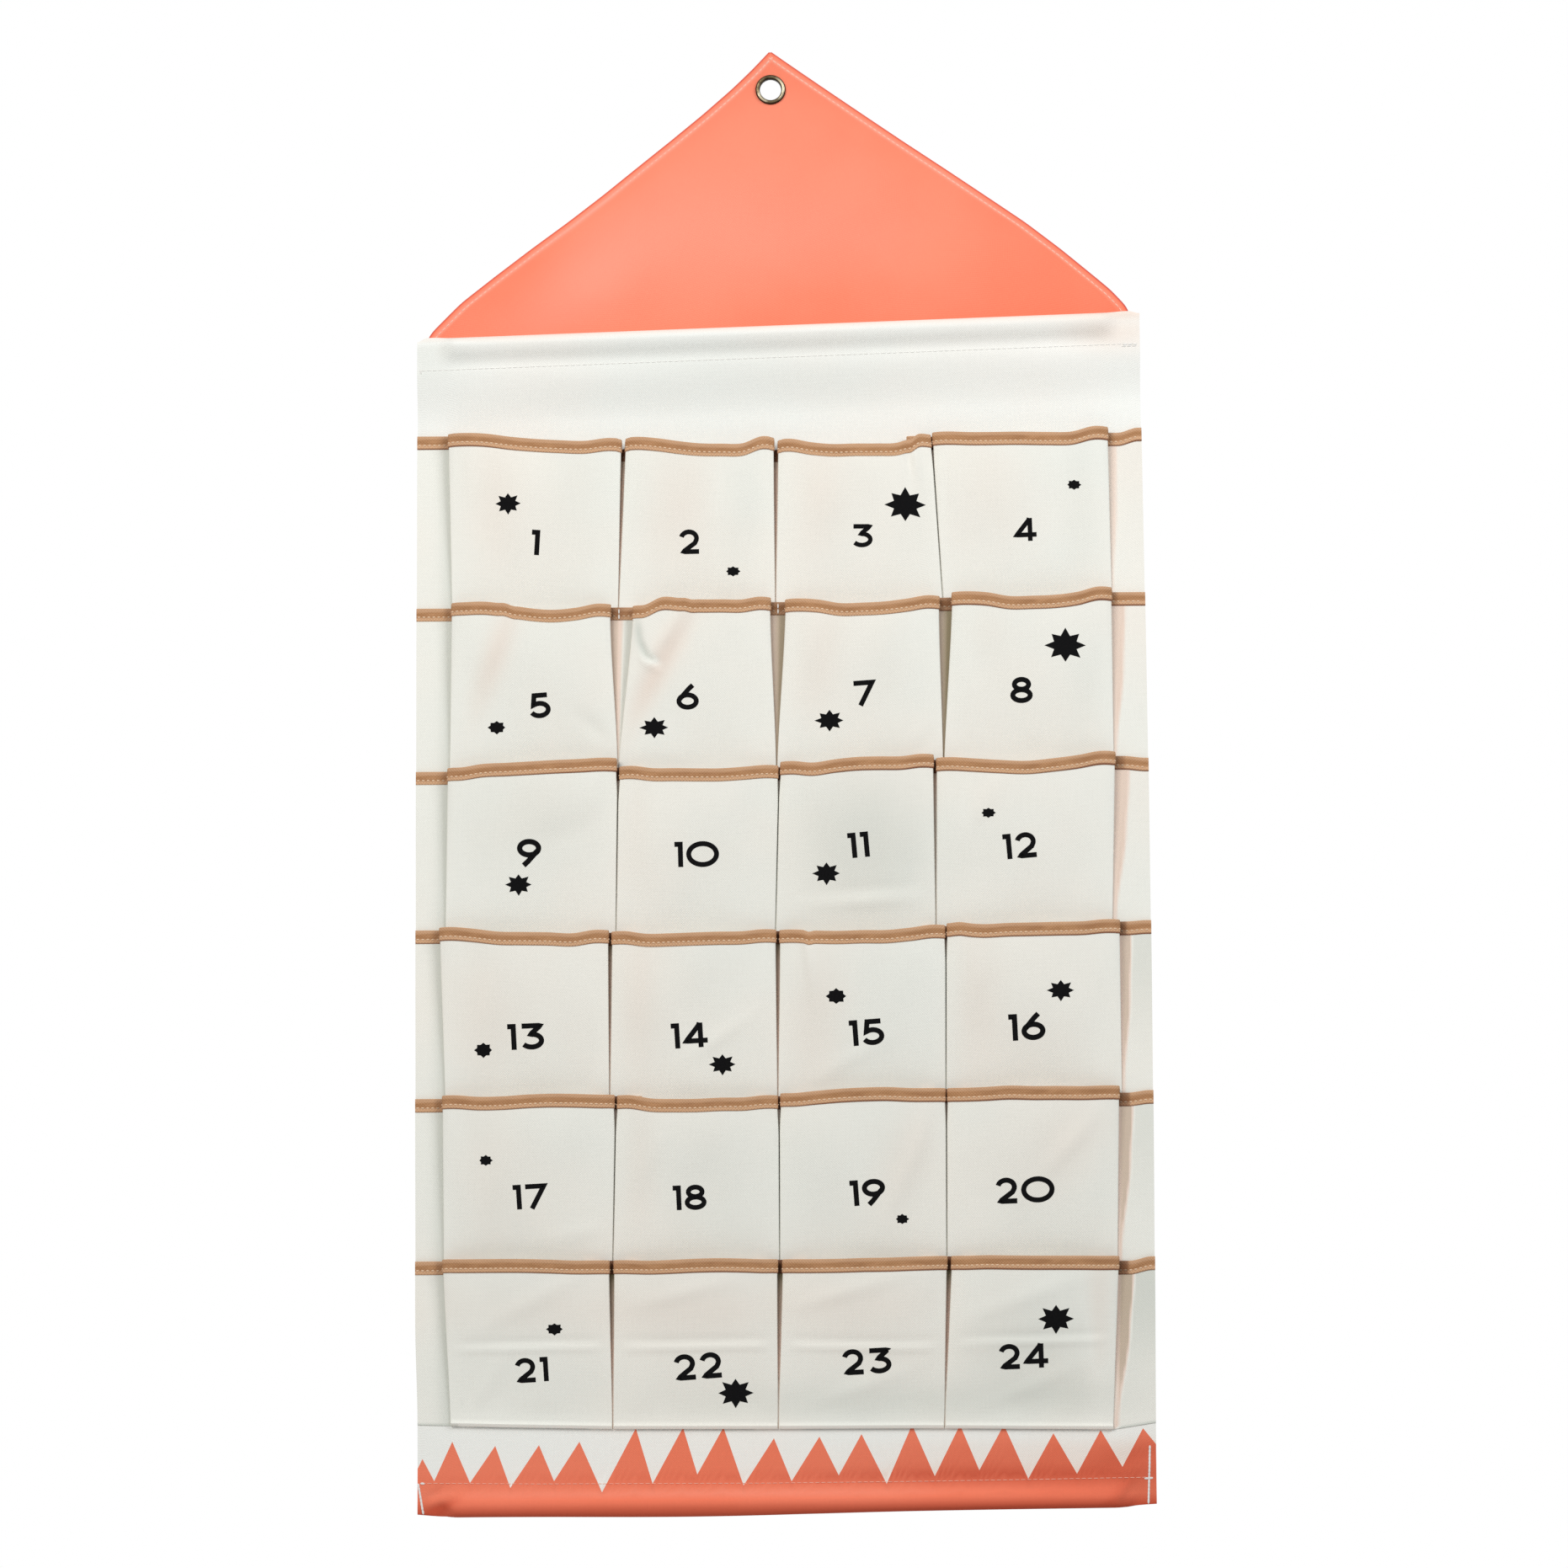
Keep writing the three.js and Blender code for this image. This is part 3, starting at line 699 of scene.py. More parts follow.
# The last rows go straight down to the fold line, behind the header's edge.
for share in (0.25, 0.5, 0.75, 1):
    gable_points.append([(x, d, z - BEHIND * share) for x, d, z in gable_points[GABLE_ROWS - 1]])
gable = sheet_from("gable_cloth", np.array(gable_points).transpose(1, 0, 2) * [1, -1, 1])
thicken(gable, 0.45)
print("gable rows:", len(gable_points), "columns:", len(gable_points[0]))

# %% [markdown]
# The hole for the eyelet is punched with a boolean, as a hole punch does it. The flange hides
# its edge.

# %% Punch the hole
PUNCH = 7.5  # radius, mm

pick()
bpy.ops.mesh.primitive_cylinder_add(vertices=64, radius=PUNCH * MM, depth=20 * MM, rotation=(math.pi / 2, 0, 0))
punch = bpy.context.object
apply_modifier(gable, "BOOLEAN", operation="DIFFERENCE", object=punch, solver="EXACT")
bpy.data.objects.remove(punch)
smooth(gable)


def gable_tint(x, depth, z):
    # Painted light and shade on the gable: above 0 darker and redder, below 0 lighter.
    side = np.where(x < 0, x / 215.0, x / 223.0)
    inset = np.full(x.shape, 1000.0)
    for points, inward in ((left_edge, left_inward), (right_edge, right_inward)):
        edge_x, lean = (np.interp(-z, -points[:, 1], values) for values in (points[:, 0], np.abs(inward[:, 0])))
        inset = np.minimum(inset, np.abs(x - edge_x) * lean)
    # Painted shade on the rolled edge, and a painted highlight along the hem's ridge 3.4 mm inside it.
    hem = 1.6 * np.exp(-((inset / 0.7) ** 2)) - 0.9 * np.exp(-(((inset - 3.4) / 1.5) ** 2))
    # A little painted shade near the edges.
    hem += 0.2 * np.exp(-((inset / 12) ** 2))
    # Painted shade towards the base and the right.
    low = np.clip((-95 - z) / 60, 0, 1) * np.clip(0.35 + 0.65 * side, 0, 1) * 0.5
    # A painted lighter middle, and a little painted shade at the right.
    middle = patch(x, z, (-10, -92, 120, 42, 0, 0.3)) + patch(x, z, (-120, -128, 60, 20, 38, 0.35))
    return np.clip(hem + 0.75 * low + patch(x, z, (150, -112, 60, 30, -38, 0.2)) - middle, -1, 2)


tint(gable, gable_tint)
finish_piece(gable, "roof", "coral_canvas", coral_canvas)
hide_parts("roof_panel")

# %% [markdown]
# ## Stitches
# A line of machine stitching is one short thread after another, each dipping into the cloth at
# both ends. One stitch is modelled from a sphere and then copied along a path, turned to follow
# it. All the stitches of one seam form one piece.

# %% Model one stitch and sew with it
pick()
bpy.ops.mesh.primitive_uv_sphere_add(segments=8, ring_count=6, radius=1)
one_stitch = bpy.context.object
bpy.ops.object.mode_set(mode="EDIT")
bpy.ops.mesh.select_all(action="SELECT")
bpy.ops.transform.rotate(value=math.pi / 2, orient_axis="Y", center_override=(0, 0, 0))
bpy.ops.object.mode_set(mode="OBJECT")
stitch_points = np.array([v.co for v in one_stitch.data.vertices])
stitch_faces = [list(p.vertices) for p in one_stitch.data.polygons]
bpy.data.objects.remove(one_stitch)
print("one stitch:", len(stitch_faces), "faces")


def seam(name, lines, body, slot, finish, length=3.3, gap=1.1, width=0.5, height=0.34):
    """Sews along lines of points in mm, each given as (points, outward directions)."""
    spots = []
    for points, outs in lines:
        points, outs = np.asarray(points, float), np.asarray(outs, float)
        run = run_along(points)
        for k in range(int(run[-1] // (length + gap))):
            ends = (k + 0.5) * (length + gap) + np.array([-length / 2, 0, length / 2])
            spots.append((*on_path(ends, run, points), on_path(ends[1], run, outs)))
    verts, faces = [], []
    for a, middle, b, out in spots:
        along = b - a
        reach = np.linalg.norm(along)
        along /= reach
        out = out - along * out.dot(along)
        out /= np.linalg.norm(out)
        aside = np.cross(out, along)
        base = len(verts)
        for px, py, pz in stitch_points:
            rise = pz * height / 2 + (1 - px * px) * 0.12
            verts.append(tuple((middle + along * px * reach / 2 + aside * py * width / 2 + out * rise) * MM))
        faces += [[base + i for i in face] for face in stitch_faces]
    obj = piece_from(name, verts, faces)
    smooth(obj, 60)
    finish_piece(obj, body, slot, finish)
    print(name, "-", len(spots), "stitches")
    return obj


# %% Stitch the gable's hem
HEM_SEAM = 3.6  # inside the edge, mm
OUTWARD = (0, -1, 0)

gable_lines = []
for edge, inward in ((left_edge, left_inward), (right_edge, right_inward)):
    line = [(x + u * HEM_SEAM, -(GABLE_DEPTH + 0.3), z + w * HEM_SEAM) for (x, z), (u, w) in zip(edge, inward)]
    line = [p for p in line[:-1] if abs(p[0]) > 1.5]
    gable_lines.append((line, [OUTWARD] * len(line)))
seam("gable_stitches", gable_lines, "roof", "coral_canvas", coral_thread, length=3.0, gap=0.5, width=0.8)

# %% [markdown]
# ## The panel and its rod sleeves
# The panel is one cloth. At each end it goes round a rod and comes back to a seam behind
# itself. Between the rod's ends the sleeve is a tube. Past them nothing holds it open, so it
# falls flat. Both shapes are drawn as paths of equally many points, and the sheet
# passes from one to the other beyond the rod's end.

# %% Draw a sleeve in section
PANEL_DEPTH = 0.7  # of the cloth behind the pockets
PANEL_CLOTH = 0.4  # its thickness
SLEEVE = 20.0  # height of the top sleeve
SLEEVE_RADIUS = 4.5
ROD_ENDS = (-197.0, 205.0)
PATH_POINTS = 41  # in each sleeve's path


def sleeve_paths(back, front, rod_depth, rod_height, edge, loose=0.0, hug=0.25):
    """Two paths of [depth, height over the seam], from the seam's back round the rod to its front:
    the open tube, and the flat sleeve past the rod's end. hug is how much longer than taut cloth
    it follows the round, in radians, and loose how much room it leaves beyond the rod."""
    way = np.sign(rod_height)
    centre = np.array([rod_depth, rod_height])
    reach = np.array([front, 0.0]) - centre
    toward = math.atan2(reach[1], reach[0])
    leave = toward + way * math.acos(SLEEVE_RADIUS / np.hypot(*reach))
    last = leave if way > 0 else 2 * math.pi + leave
    last -= way * hug
    turns = np.linspace(math.pi, last, 40)
    circle = [centre + SLEEVE_RADIUS * np.array([math.cos(a), math.sin(a)]) for a in turns]
    away = np.array([-math.sin(last), math.cos(last)]) * (1 if last > math.pi else -1)
    end = np.array([front, 0.0])
    pull = 0.42 * np.hypot(*(circle[-1] - end))
    p, q, r = circle[-1], circle[-1] + away * pull, end + np.array([0, way]) * pull
    runout = [p * (1 - t) ** 3 + q * 3 * t * (1 - t) ** 2 + r * 3 * t * t * (1 - t) + end * t**3
              for t in np.linspace(0, 1, 16)[1:]]
    tube = np.array([(back, 0.0), *circle, *runout])
    tube[:, 1] += way * loose * np.clip(way * (tube[:, 1] - rod_height) / SLEEVE_RADIUS, 0, 1)
    half = (front - back) / 2
    lip = [(back + half - half * math.cos(a), edge + way * half * (math.sin(a) - 1))
           for a in np.linspace(0, math.pi, 9)]
    return spread(tube, PATH_POINTS), spread([(back, 0.0), *lip, (front, 0.0)], PATH_POINTS)


HEADER_DEPTH = 6.6  # of the cloth's front at the sleeve's seam
LAYER = 0.55  # from the middle of one layer of cloth to the next
top_tube, top_flat = sleeve_paths(HEADER_DEPTH - LAYER, HEADER_DEPTH, 7.4, 14.9, 19.8, hug=-0.12)
print("top sleeve's furthest point:", top_tube.max(0).round(1))

# %% [markdown]
# The foot is printed coral below a zigzag line. The mesh can carry that line exactly: the
# sheet's columns stand at the zigzag's points, and one of its rows runs along it. All the
# faces below that row get the coral finish, so the printed edge is sharp at any distance.

# %% Lay the panel
ZIGZAG = [
    (-222, -857.6), (-219, -851.6), (-211.4, -865), (-199.7, -841.3), (-188.8, -866.2), (-173.4, -844),
    (-164.2, -869.4), (-146.7, -843.7), (-137.5, -865.5), (-122, -841.8), (-108.2, -872.3), (-87.5, -833.9),
    (-77.4, -867.4), (-58.7, -833.6), (-50.1, -862), (-34, -833.7), (-21.9, -868.8), (-3.2, -840.5),
    (7.4, -866.5), (24.6, -839.7), (36.2, -863.1), (50.3, -838.3), (65.4, -868.4), (81.2, -832.9),
    (94.8, -864), (110.5, -833.1), (122, -860.6), (137.3, -833.3), (151.8, -865.9), (167.5, -838.6),
    (181.6, -863.1), (196.4, -836.8), (209.4, -859.2), (222.1, -835.9), (230, -845.6),
]
FOOT_SEAM = [(-222, -866.5), (-147, -867.4), (-5, -867.8), (90, -867.3), (167, -866.5), (230, -865.6)]
FOOT_MARKS = [
    (-203.5, -881.5, 4.0, 1.1, -38, -0.9), (-206, -876, 11, 2.2, 22, 1.0), (-208, -871.5, 10, 2.0, 22, -0.8),
    (210.0, -878.8, 4.0, 1.1, 48, -0.9), (215, -868.5, 12, 2.2, 32, 1.2), (213, -873.5, 9, 2.0, 40, -0.9),
    (216, -861, 14, 3.0, 18, 1.1), (214, -854, 14, 3.0, 14, -0.8),
]
FOOT_EDGE = [(-222, -885.2), (-197, -886.2), (205, -883.2), (230, -881.6)]  # where the cloth hangs flat
HEADER_FALLS = (1, 2, 3.2, 4.6, 6, 8, 10, 12.5, 15, 18, 21, 24, 27, 30, 33, 36)  # below the sleeve's seam
MIDDLE, ROWS_END, PRINT_END = -300, -826, -876  # heights where the spacing of the grid's rows changes
HEADER_ROWS = slice(46, 82)  # of the grid: those below the sleeve's seam
LINE_ROWS, PRINT_ROWS, FOOT_ROWS = 9, 8, 43  # down to the zigzag, from it to PRINT_END, round the rod
zig_x, zig_z = np.array(ZIGZAG).T
panel_x = np.unique(np.concatenate([np.linspace(a, b, 6) for a, b in zip(zig_x, zig_x[1:])]).round(4))


def foot_rod(x):
    """Height of the lower rod's middle."""
    return -880.1 + (x - PANEL_MIDDLE) * 3.4 / 452


def bowed(grid):
    """Moves points near the side edges: out at half the height, and in at the foot's left end."""
    x, z = grid[..., 0], grid[..., 2]
    at_left, at_right = ease(195, 222, -x), ease(195, 230, x)
    bow = np.sin(math.pi * np.clip((z + 860) / 700, 0, 1))
    grid[..., 0] += bow * (1.8 * at_right - 0.6 * at_left) + 1.2 * ease(-770, -830, z) * at_left
    return grid


def panel_column(x):
    """The panel's path at one x, as points [depth, z]."""
    open_share = ease(-14, 1, x - ROD_ENDS[0]) * ease(-14, 1, ROD_ENDS[1] - x)
    seam_z = roof_line(x) - SLEEVE
    top = top_tube * open_share + top_flat * (1 - open_share)
    corner = 2.4 * (1 - ease(0, 6, x - PANEL_LEFT)) + 1.6 * (1 - ease(0, 7, PANEL_RIGHT - x))
    top = top * [1, 1 - corner / SLEEVE]

    def front_depth(fall):
        return PANEL_DEPTH + (HEADER_DEPTH - PANEL_DEPTH) * (1 - ease(0, HEADER_FALLS[-1], fall))

    column = [(front_depth(f) - LAYER, seam_z - f) for f in (3.6, 2.4, 1.2)]
    column += [(d, seam_z + h) for d, h in top]
    column += [(front_depth(f), seam_z - f) for f in HEADER_FALLS]
    start = seam_z - HEADER_FALLS[-1]
    column += [(PANEL_DEPTH, start + (MIDDLE - start) * t) for t in np.linspace(0, 1, 22)[1:]]
    column += [(PANEL_DEPTH, z) for z in np.linspace(MIDDLE, ROWS_END, 22)[1:]]
    foot_seam, foot_edge = (np.interp(x, *np.array(table).T) for table in (FOOT_SEAM, FOOT_EDGE))
    loose = 1.7 * math.exp(-(((x + 48) / 95) ** 2))
    foot_tube, foot_flat = sleeve_paths(0.25, 0.8, 5.1, foot_rod(x) - foot_seam, foot_edge - foot_seam, loose)
    foot = foot_tube * open_share + foot_flat * (1 - open_share)
    rest = [(PANEL_DEPTH, -829.0), (PANEL_DEPTH, -855.0)] + [(d, foot_seam + h) for d, h in foot[::-1]]
    rest += [(0.25, foot_seam + h) for h in (1.2, 2.4, 3.6)]
    rest = np.array(rest)
    run = run_along(rest)
    line, below = (np.interp(-z, -rest[:14, 1], run[:14]) for z in (np.interp(x, zig_x, zig_z), PRINT_END))
    stops = [*np.linspace(0, line, LINE_ROWS), *np.linspace(line, below, PRINT_ROWS + 1)[1:],
             *np.linspace(below, run[-1], FOOT_ROWS + 1)[1:]]
    return [*column, *on_path(stops, run, rest)]


panel_grid = np.array([[(x, d, z) for d, z in panel_column(x)] for x in panel_x])
white_rows = panel_grid.shape[1] - PRINT_ROWS - FOOT_ROWS - 1
for column in panel_grid:
    for point in column[HEADER_ROWS]:
        x, z = point[0], point[2]
        swell = noise.noise(Vector((x / 80, 2.2, z / 30))) * 0.6 * ease(-235, -215, z)
        point[1] += max(swell, -0.2) * ease(0, 9, roof_line(x) - SLEEVE - z)
foot_rows = slice(white_rows - 8, white_rows + 28)
x, depth, z = np.moveaxis(panel_grid[:, foot_rows], 2, 0)
front = ease(0.5, 0.8, depth)
for spot in FOOT_MARKS:
    depth += patch(x, z, spot) * front
panel = sheet_from("panel_cloth", bowed(panel_grid) * [1, -1, 1], white_rows)
thicken(panel, PANEL_CLOTH)
smooth(panel)


def panel_tint(x, depth, z):
    # Tints of the panel, most of them painted light and shade. The header is pinkish at its right end and greyer at
    # its left end.
    header = patch(x, z, (215, -158, 30, 12, 0, 0.5)) - patch(x, z, (-215, -168, 22, 20, 0, 0.35))
    # A painted reflection of the gable along the header's top edge, and painted shade below the sleeve.
    header += 0.6 * ease(-7, 0, z - roof_line(x)) - patch(x, z, (-10, -182, 150, 26, 0, 0.3))
    # Painted shade under the lower rod, above the foot's seam and along it.
    under = 0.85 * ease(-874, -885, z)
    under += patch(x, z, (120, -862, 90, 4, 0, 0.4)) + patch(x, z, (215, -852, 26, 9, 20, 0.25))
    under += patch(x, z, (5, -864, 240, 2.2, 0, 0.25))
    # A painted highlight along the top of the lower rod.
    over = patch(x, z, (0, -873.0, 190, 2.6, 0, 0.55))
    # Painted shade in the creases at the rod's ends.
    ends = patch(x, z, (-205, -880, 12, 3, 30, 0.5)) + patch(x, z, (209, -872, 14, 3, 40, 0.25))
    under += 0.4 * ease(-60, 230, x) * ease(-838, -850, z)  # painted shade: the foot is darker towards the right
    return np.clip(header + under + ends - over, -1, 1)


for face in panel.data.polygons:  # the printed teeth do not come through to the back
    if face.normal.y > 0.5 and face.center.z / MM > -866:
        face.material_index = 0
tint(panel, panel_tint)
finish_piece(panel, "hanging", "white_canvas", panel_canvas, coral_print)
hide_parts("back_panel")
coral_faces = sum(face.material_index for face in panel.data.polygons)
print("panel:", panel_grid.shape[:2], "columns and rows; coral faces:", coral_faces)

# %% [markdown]
# ## The pocket rows
# A row is one strip of canvas, folded in inverted box pleats. Seen from above, the cloth
# lies flat at the side, runs a little way under the pocket, turns back to the pocket's
# edge, turns again and crosses in front. At the mouth the layers stand apart and the front
# bellies out. At the foot they are pressed flat under a seam, which the next row hides.
# The tables give how each row hangs: its mouths sag and rise, and its pleats lean. They give
# for each pleat how wide it gapes at the mouth, and how much lower than the pockets its own
# cloth lies there.

# %% Measure the rows
FIRST_ROW, ROW_PITCH, PITCH, SIDE = -221.0, 102.2, 103.0, 20.0
# For each row, how far its five folds lie from even places: at the mouth and at the foot.
MOUTH_FOLDS = [[0, 6, -2, -8, -1.5], [2.3, 4.6, -1.4, -0.2, -0.9], [0, 2.1, -1.2, -7.9, -0.3],
               [-4.8, -3.1, -2.8, -2.2, 0.8], [-2.9, 0.2, -2.7, -3.0, -0.7], [-2.7, -2.7, -2.7, -2.2, -2.1]]
FOOT_FOLDS = [[2, 2, -3, -1, 0], [0.5, 1.5, -3, -2.5, -0.5], [-2, 0, -4.5, -8, -3],
              [-1.5, -4, -3.5, -3, 1.5], [-2.5, -2.5, -3, -3.5, -2.5], [1.5, -2.5, -4.5, -6, -6.2]]
# For each row's three pleats: width of the gap at the mouth, and fall of the cloth in it.
GAPS = [[3.2, 3.2, 1.9], [14.6, 9.9, 8.6], [2.7, 2.3, 2.6], [2.8, 3.1, 2.1], [2.6, 2.6, 2.1], [3.5, 3.7, 3.4]]
DROPS = [[5.8, 5.6, 0.6], [0.4, 1.2, 0.6], [0.5, 0.8, 1.0], [0.6, 0.6, 0.6], [0.6, 0.6, 0.6], [0.6, 0.6, 0.6]]
SHUT = {(0, 3), (2, 1), (2, 2), (3, 3), (4, 1), (4, 2), (4, 3)}  # (row, pleat): its edges meet soon below the mouth
STRIPS = [[0, -0.5], [-6.3, 1.2], [-6.1, 1], [-2.2, 0.5], [-3.7, -2.6], [-0.7, -3]]  # heights, left and right
END_RISES = [3.2, 0, -1.2, 0.8, 1.5, 2.6]  # of the right strip, at its outer end
# Heights of each pocket's mouth over its row's top, at the shares of its width between 0 and 1.
MOUTH_STOPS = [0, 0.06, 0.2, 0.35, 0.5, 0.65, 0.8, 0.94, 1]
MOUTHS = [
    [[0.7, -0.1, -2.4, -4, -4.9, -5.1, -3], [-2.4, -3.7, -5.9, -7.5, -7.7, -7.3, -2.5],
     [-4.2, -6.8, -8.4, -8.3, -8.3, -7.4, -1.6], [-0.3, -1.2, -1.5, -1.5, -1.7, -1.3, 2.6]],
    [[-3.4, -3.4, -5.4, -8, -9, -7.5, -4.8], [-5.9, -1.3, -2.3, -3.1, -3.1, -3.1, -1.1],
     [-2.4, -3.5, -6, -5.8, -5.1, -3.2, -0.9], [1.4, 0.5, -2.2, -2.2, -1.6, 0.4, 3.9]],
    [[-4.1, -2.2, -1.7, -1, -0.2, 0.5, 1.4], [-3.8, -5.5, -5.7, -6, -6, -5, -3.8],
     [-1.5, -2.7, -0.9, 0.4, 0.7, 0.9, 2.5], [0.3, -0.8, -2, -2.7, -1.2, 0.9, 3.6]],
    [[-0.5, -1.8, -3.7, -4, -4.3, -4.9, -2.8], [-3.7, -5.5, -5.4, -5, -4.6, -4.4, -3.1],
     [-3.4, -4.2, -4.6, -4.2, -4.2, -2.8, -1], [0, -1, -0.4, -0.2, 0.1, 0.4, 1.7]],
    [[-1.5, -2.5, -2.3, -1.3, -0.9, -1.2, -1.7], [-2.1, -4.2, -4.6, -4.6, -4, -3.9, -2.7],
     [-1.5, -0.3, 0.9, 1.6, 1.8, 1.1, 1], [1, 1.4, 2.2, 1.8, 1.8, 1.6, 1.9]],
    [[0.9, 1, 1.1, 1, 0.5, -0.2, -0.3], [-0.3, -0.6, -0.1, 0.5, 0.7, 0.3, -0.3],
     [-0.4, -0.3, -0.1, 0.3, 0.4, 0.8, 1], [1, 1.4, 1.2, 1, 0.9, 0.7, 0.4]],
]
LAST_FOOT = [(-222, -831.0), (-167, -832.6), (-102, -834.0), (-5, -834.6), (90, -834.8), (205, -836.2),
             (230, -832.4)]
KINKS = {
    # (row, pocket): bumps of a mouth, as (share, half width in shares, height in mm)
    (0, 2): [(0.885, 0.032, -1.8)], (1, 0): [(0.33, 0.03, 0.6), (0.39, 0.03, -0.5)],
    (1, 1): [(0.37, 0.03, 0.4), (0.43, 0.03, -0.4)], (3, 2): [(0.165, 0.022, -1.0)], (3, 3): [(0.06, 0.04, 0.5)],
}


def row_top(row):
    return FIRST_ROW - row * ROW_PITCH


def mouth_height(row, pocket, share):
    values = MOUTHS[row][pocket]
    kinks = sum(height * np.exp(-(((share - place) / half) ** 2))
                for place, half, height in KINKS.get((row, pocket), ()))
    return row_top(row) + curve_through(MOUTH_STOPS, [values[0], *values, values[-1]], share) + kinks


def pleat_height(row, k):
    """Height of the flat cloth in pleat k, or in the side strips for the first and the last."""
    if k in (0, 4):
        return row_top(row) + STRIPS[row][k // 4]
    return min(mouth_height(row, k - 1, 1), mouth_height(row, k, 0)) - DROPS[row][k - 1]


def corner(row, k, turned):
    """How far the mouth has sunk in the fold at pleat k, turned from 0 at its front to 1 at its back."""
    drop = DROPS[row][k - 1] if 0 < k < 4 else 1.2
    return min(0.3 + 0.35 * drop, 2.2) * (0.2 + 0.8 * turned**1.5)


def foot_height(row, x):
    if row < 5:
        return row_top(row + 1) - 12 + 0 * x
    return np.interp(x, *np.array(LAST_FOOT).T)


print("rows:", len(MOUTHS), "pockets:", sum(len(row) for row in MOUTHS))

# %% [markdown]
# One function folds the strip at any level between mouth and foot. It always gives the same
# number of points, so the levels stack into a grid. Each U-turn is a half circle
# between two layers, because cloth does not crease to nothing unless it is pressed.

# %% Fold one strip
CLOTH = 0.45  # thickness
UNDER = 14.0  # how far a pleat runs under its pocket
MOUTH_LAYERS, FOOT_LAYERS = (3.3, 6.05, 8.8), (1.25, 1.8, 2.35)  # depths of the three layers
BELLY = 6.0  # how far the front bulges at the mouth


def pressing(v):
    """How flat the layers lie at share v of the row's height."""
    return ease(0.04, 0.93, v) * 0.5 + np.clip((v - 0.04) / 0.88, 0, 1) * 0.5


def layer_depths(pressed):
    """Depths of the flat layer, the one that turns back, and the front."""
    return [mouth * (1 - pressed) + foot * pressed for mouth, foot in zip(MOUTH_LAYERS, FOOT_LAYERS)]


def fold_place(row, k, v):
    """The middle of pleat k at share v of the row's height."""
    return PANEL_LEFT + SIDE + k * PITCH + MOUTH_FOLDS[row][k] * (1 - v) + FOOT_FOLDS[row][k] * v


def turn(x, near, far, way):
    """A U-turn between two depths that bulges to x: to the right for way 1, to the left for -1."""
    radius = abs(far - near) / 2
    for a in np.linspace(-90, 90, 8)[1:-1]:
        depth = (near + far) / 2 + (far - near) / 2 * math.sin(math.radians(a))
        yield x + way * radius * (math.cos(math.radians(a)) - 1), depth


def fold_strip(row, v):
    """The strip's path at share v of its height, as rows of [x, depth, mouth height, pocket, share]."""
    pressed = pressing(v)
    flat, back, front = layer_depths(pressed)
    belly = BELLY * (1 - pressed) ** 1.15
    first, second = (back - flat) / 2, (front - back) / 2
    path = []

    def add(x, depth, height, pocket=-1, share=0.0):
        path.append((x, depth, height, pocket, share))

    def half_gap(k):
        shut = ease(0.03, 0.22, v) if (row, k) in SHUT else pressed
        return (GAPS[row][k - 1] * (1 - shut) + 1.15 * shut) / 2 if 0 < k < 4 else 0

    start = PANEL_LEFT
    for pocket in range(4):
        left = fold_place(row, pocket, v) + half_gap(pocket)
        right = fold_place(row, pocket + 1, v) - half_gap(pocket + 1)
        at_left, at_right = mouth_height(row, pocket, 0), mouth_height(row, pocket, 1)
        behind_left, behind_right = at_left - corner(row, pocket, 1), at_right - corner(row, pocket + 1, 1)
        low_left, low_right = pleat_height(row, pocket), pleat_height(row, pocket + 1)
        for x in np.linspace(start, left + UNDER - first, 12)[:-1]:
            add(x, flat, low_left)
        for x, depth in turn(left + UNDER, flat, back, 1):
            add(x, depth, low_left)
        for t in np.linspace(0, 1, 7):
            x = left + UNDER - first + (second - UNDER + first) * t
            add(x, back, low_left * (1 - t) + behind_left * t)
        for i, (x, depth) in enumerate(turn(left, back, front, -1)):
            add(x, depth, at_left - corner(row, pocket, 1 - i / 5))
        for t in np.linspace(0, 1, 61):
            share = t - 0.55 * math.sin(2 * math.pi * t) / (2 * math.pi)  # closer together at both ends
            x = left + second + (right - left - 2 * second) * share
            depth = front + belly * math.sin(math.pi * share) ** 0.7
            sunk = corner(row, pocket, 0) * np.exp(-(((x - left - second) / 0.9) ** 2))
            sunk += corner(row, pocket + 1, 0) * np.exp(-(((right - second - x) / 0.9) ** 2))
            add(x, depth, mouth_height(row, pocket, share) - sunk, pocket, share)
        for i, (x, depth) in enumerate(turn(right, front, back, 1)):
            add(x, depth, at_right - corner(row, pocket + 1, i / 5))
        for t in np.linspace(0, 1, 7):
            x = right - second + (first - UNDER + second) * t
            add(x, back, behind_right * (1 - t) + low_right * t)
        for x, depth in turn(right - UNDER, back, flat, -1):
            add(x, depth, low_right)
        start = right - UNDER + first
        stop = fold_place(row, pocket + 1, v) if pocket < 3 else PANEL_RIGHT
        for x in np.linspace(start, stop, 8)[:-1] if pocket < 3 else np.linspace(start, stop, 26):
            add(x, flat, low_right + END_RISES[row] * ease(215, 228, x))
        start = stop
    return np.array(path)


print("points along a strip:", len(fold_strip(0, 0)))

# %% [markdown]
# Cloth that has been folded, packed and sewn keeps small marks: shallow waves near the mouth,
# a dent where something was in the pocket, a crease across it. Each mark below is a soft hollow
# or ridge with a place, a size, a slant and a height. Slow noise does the rest.

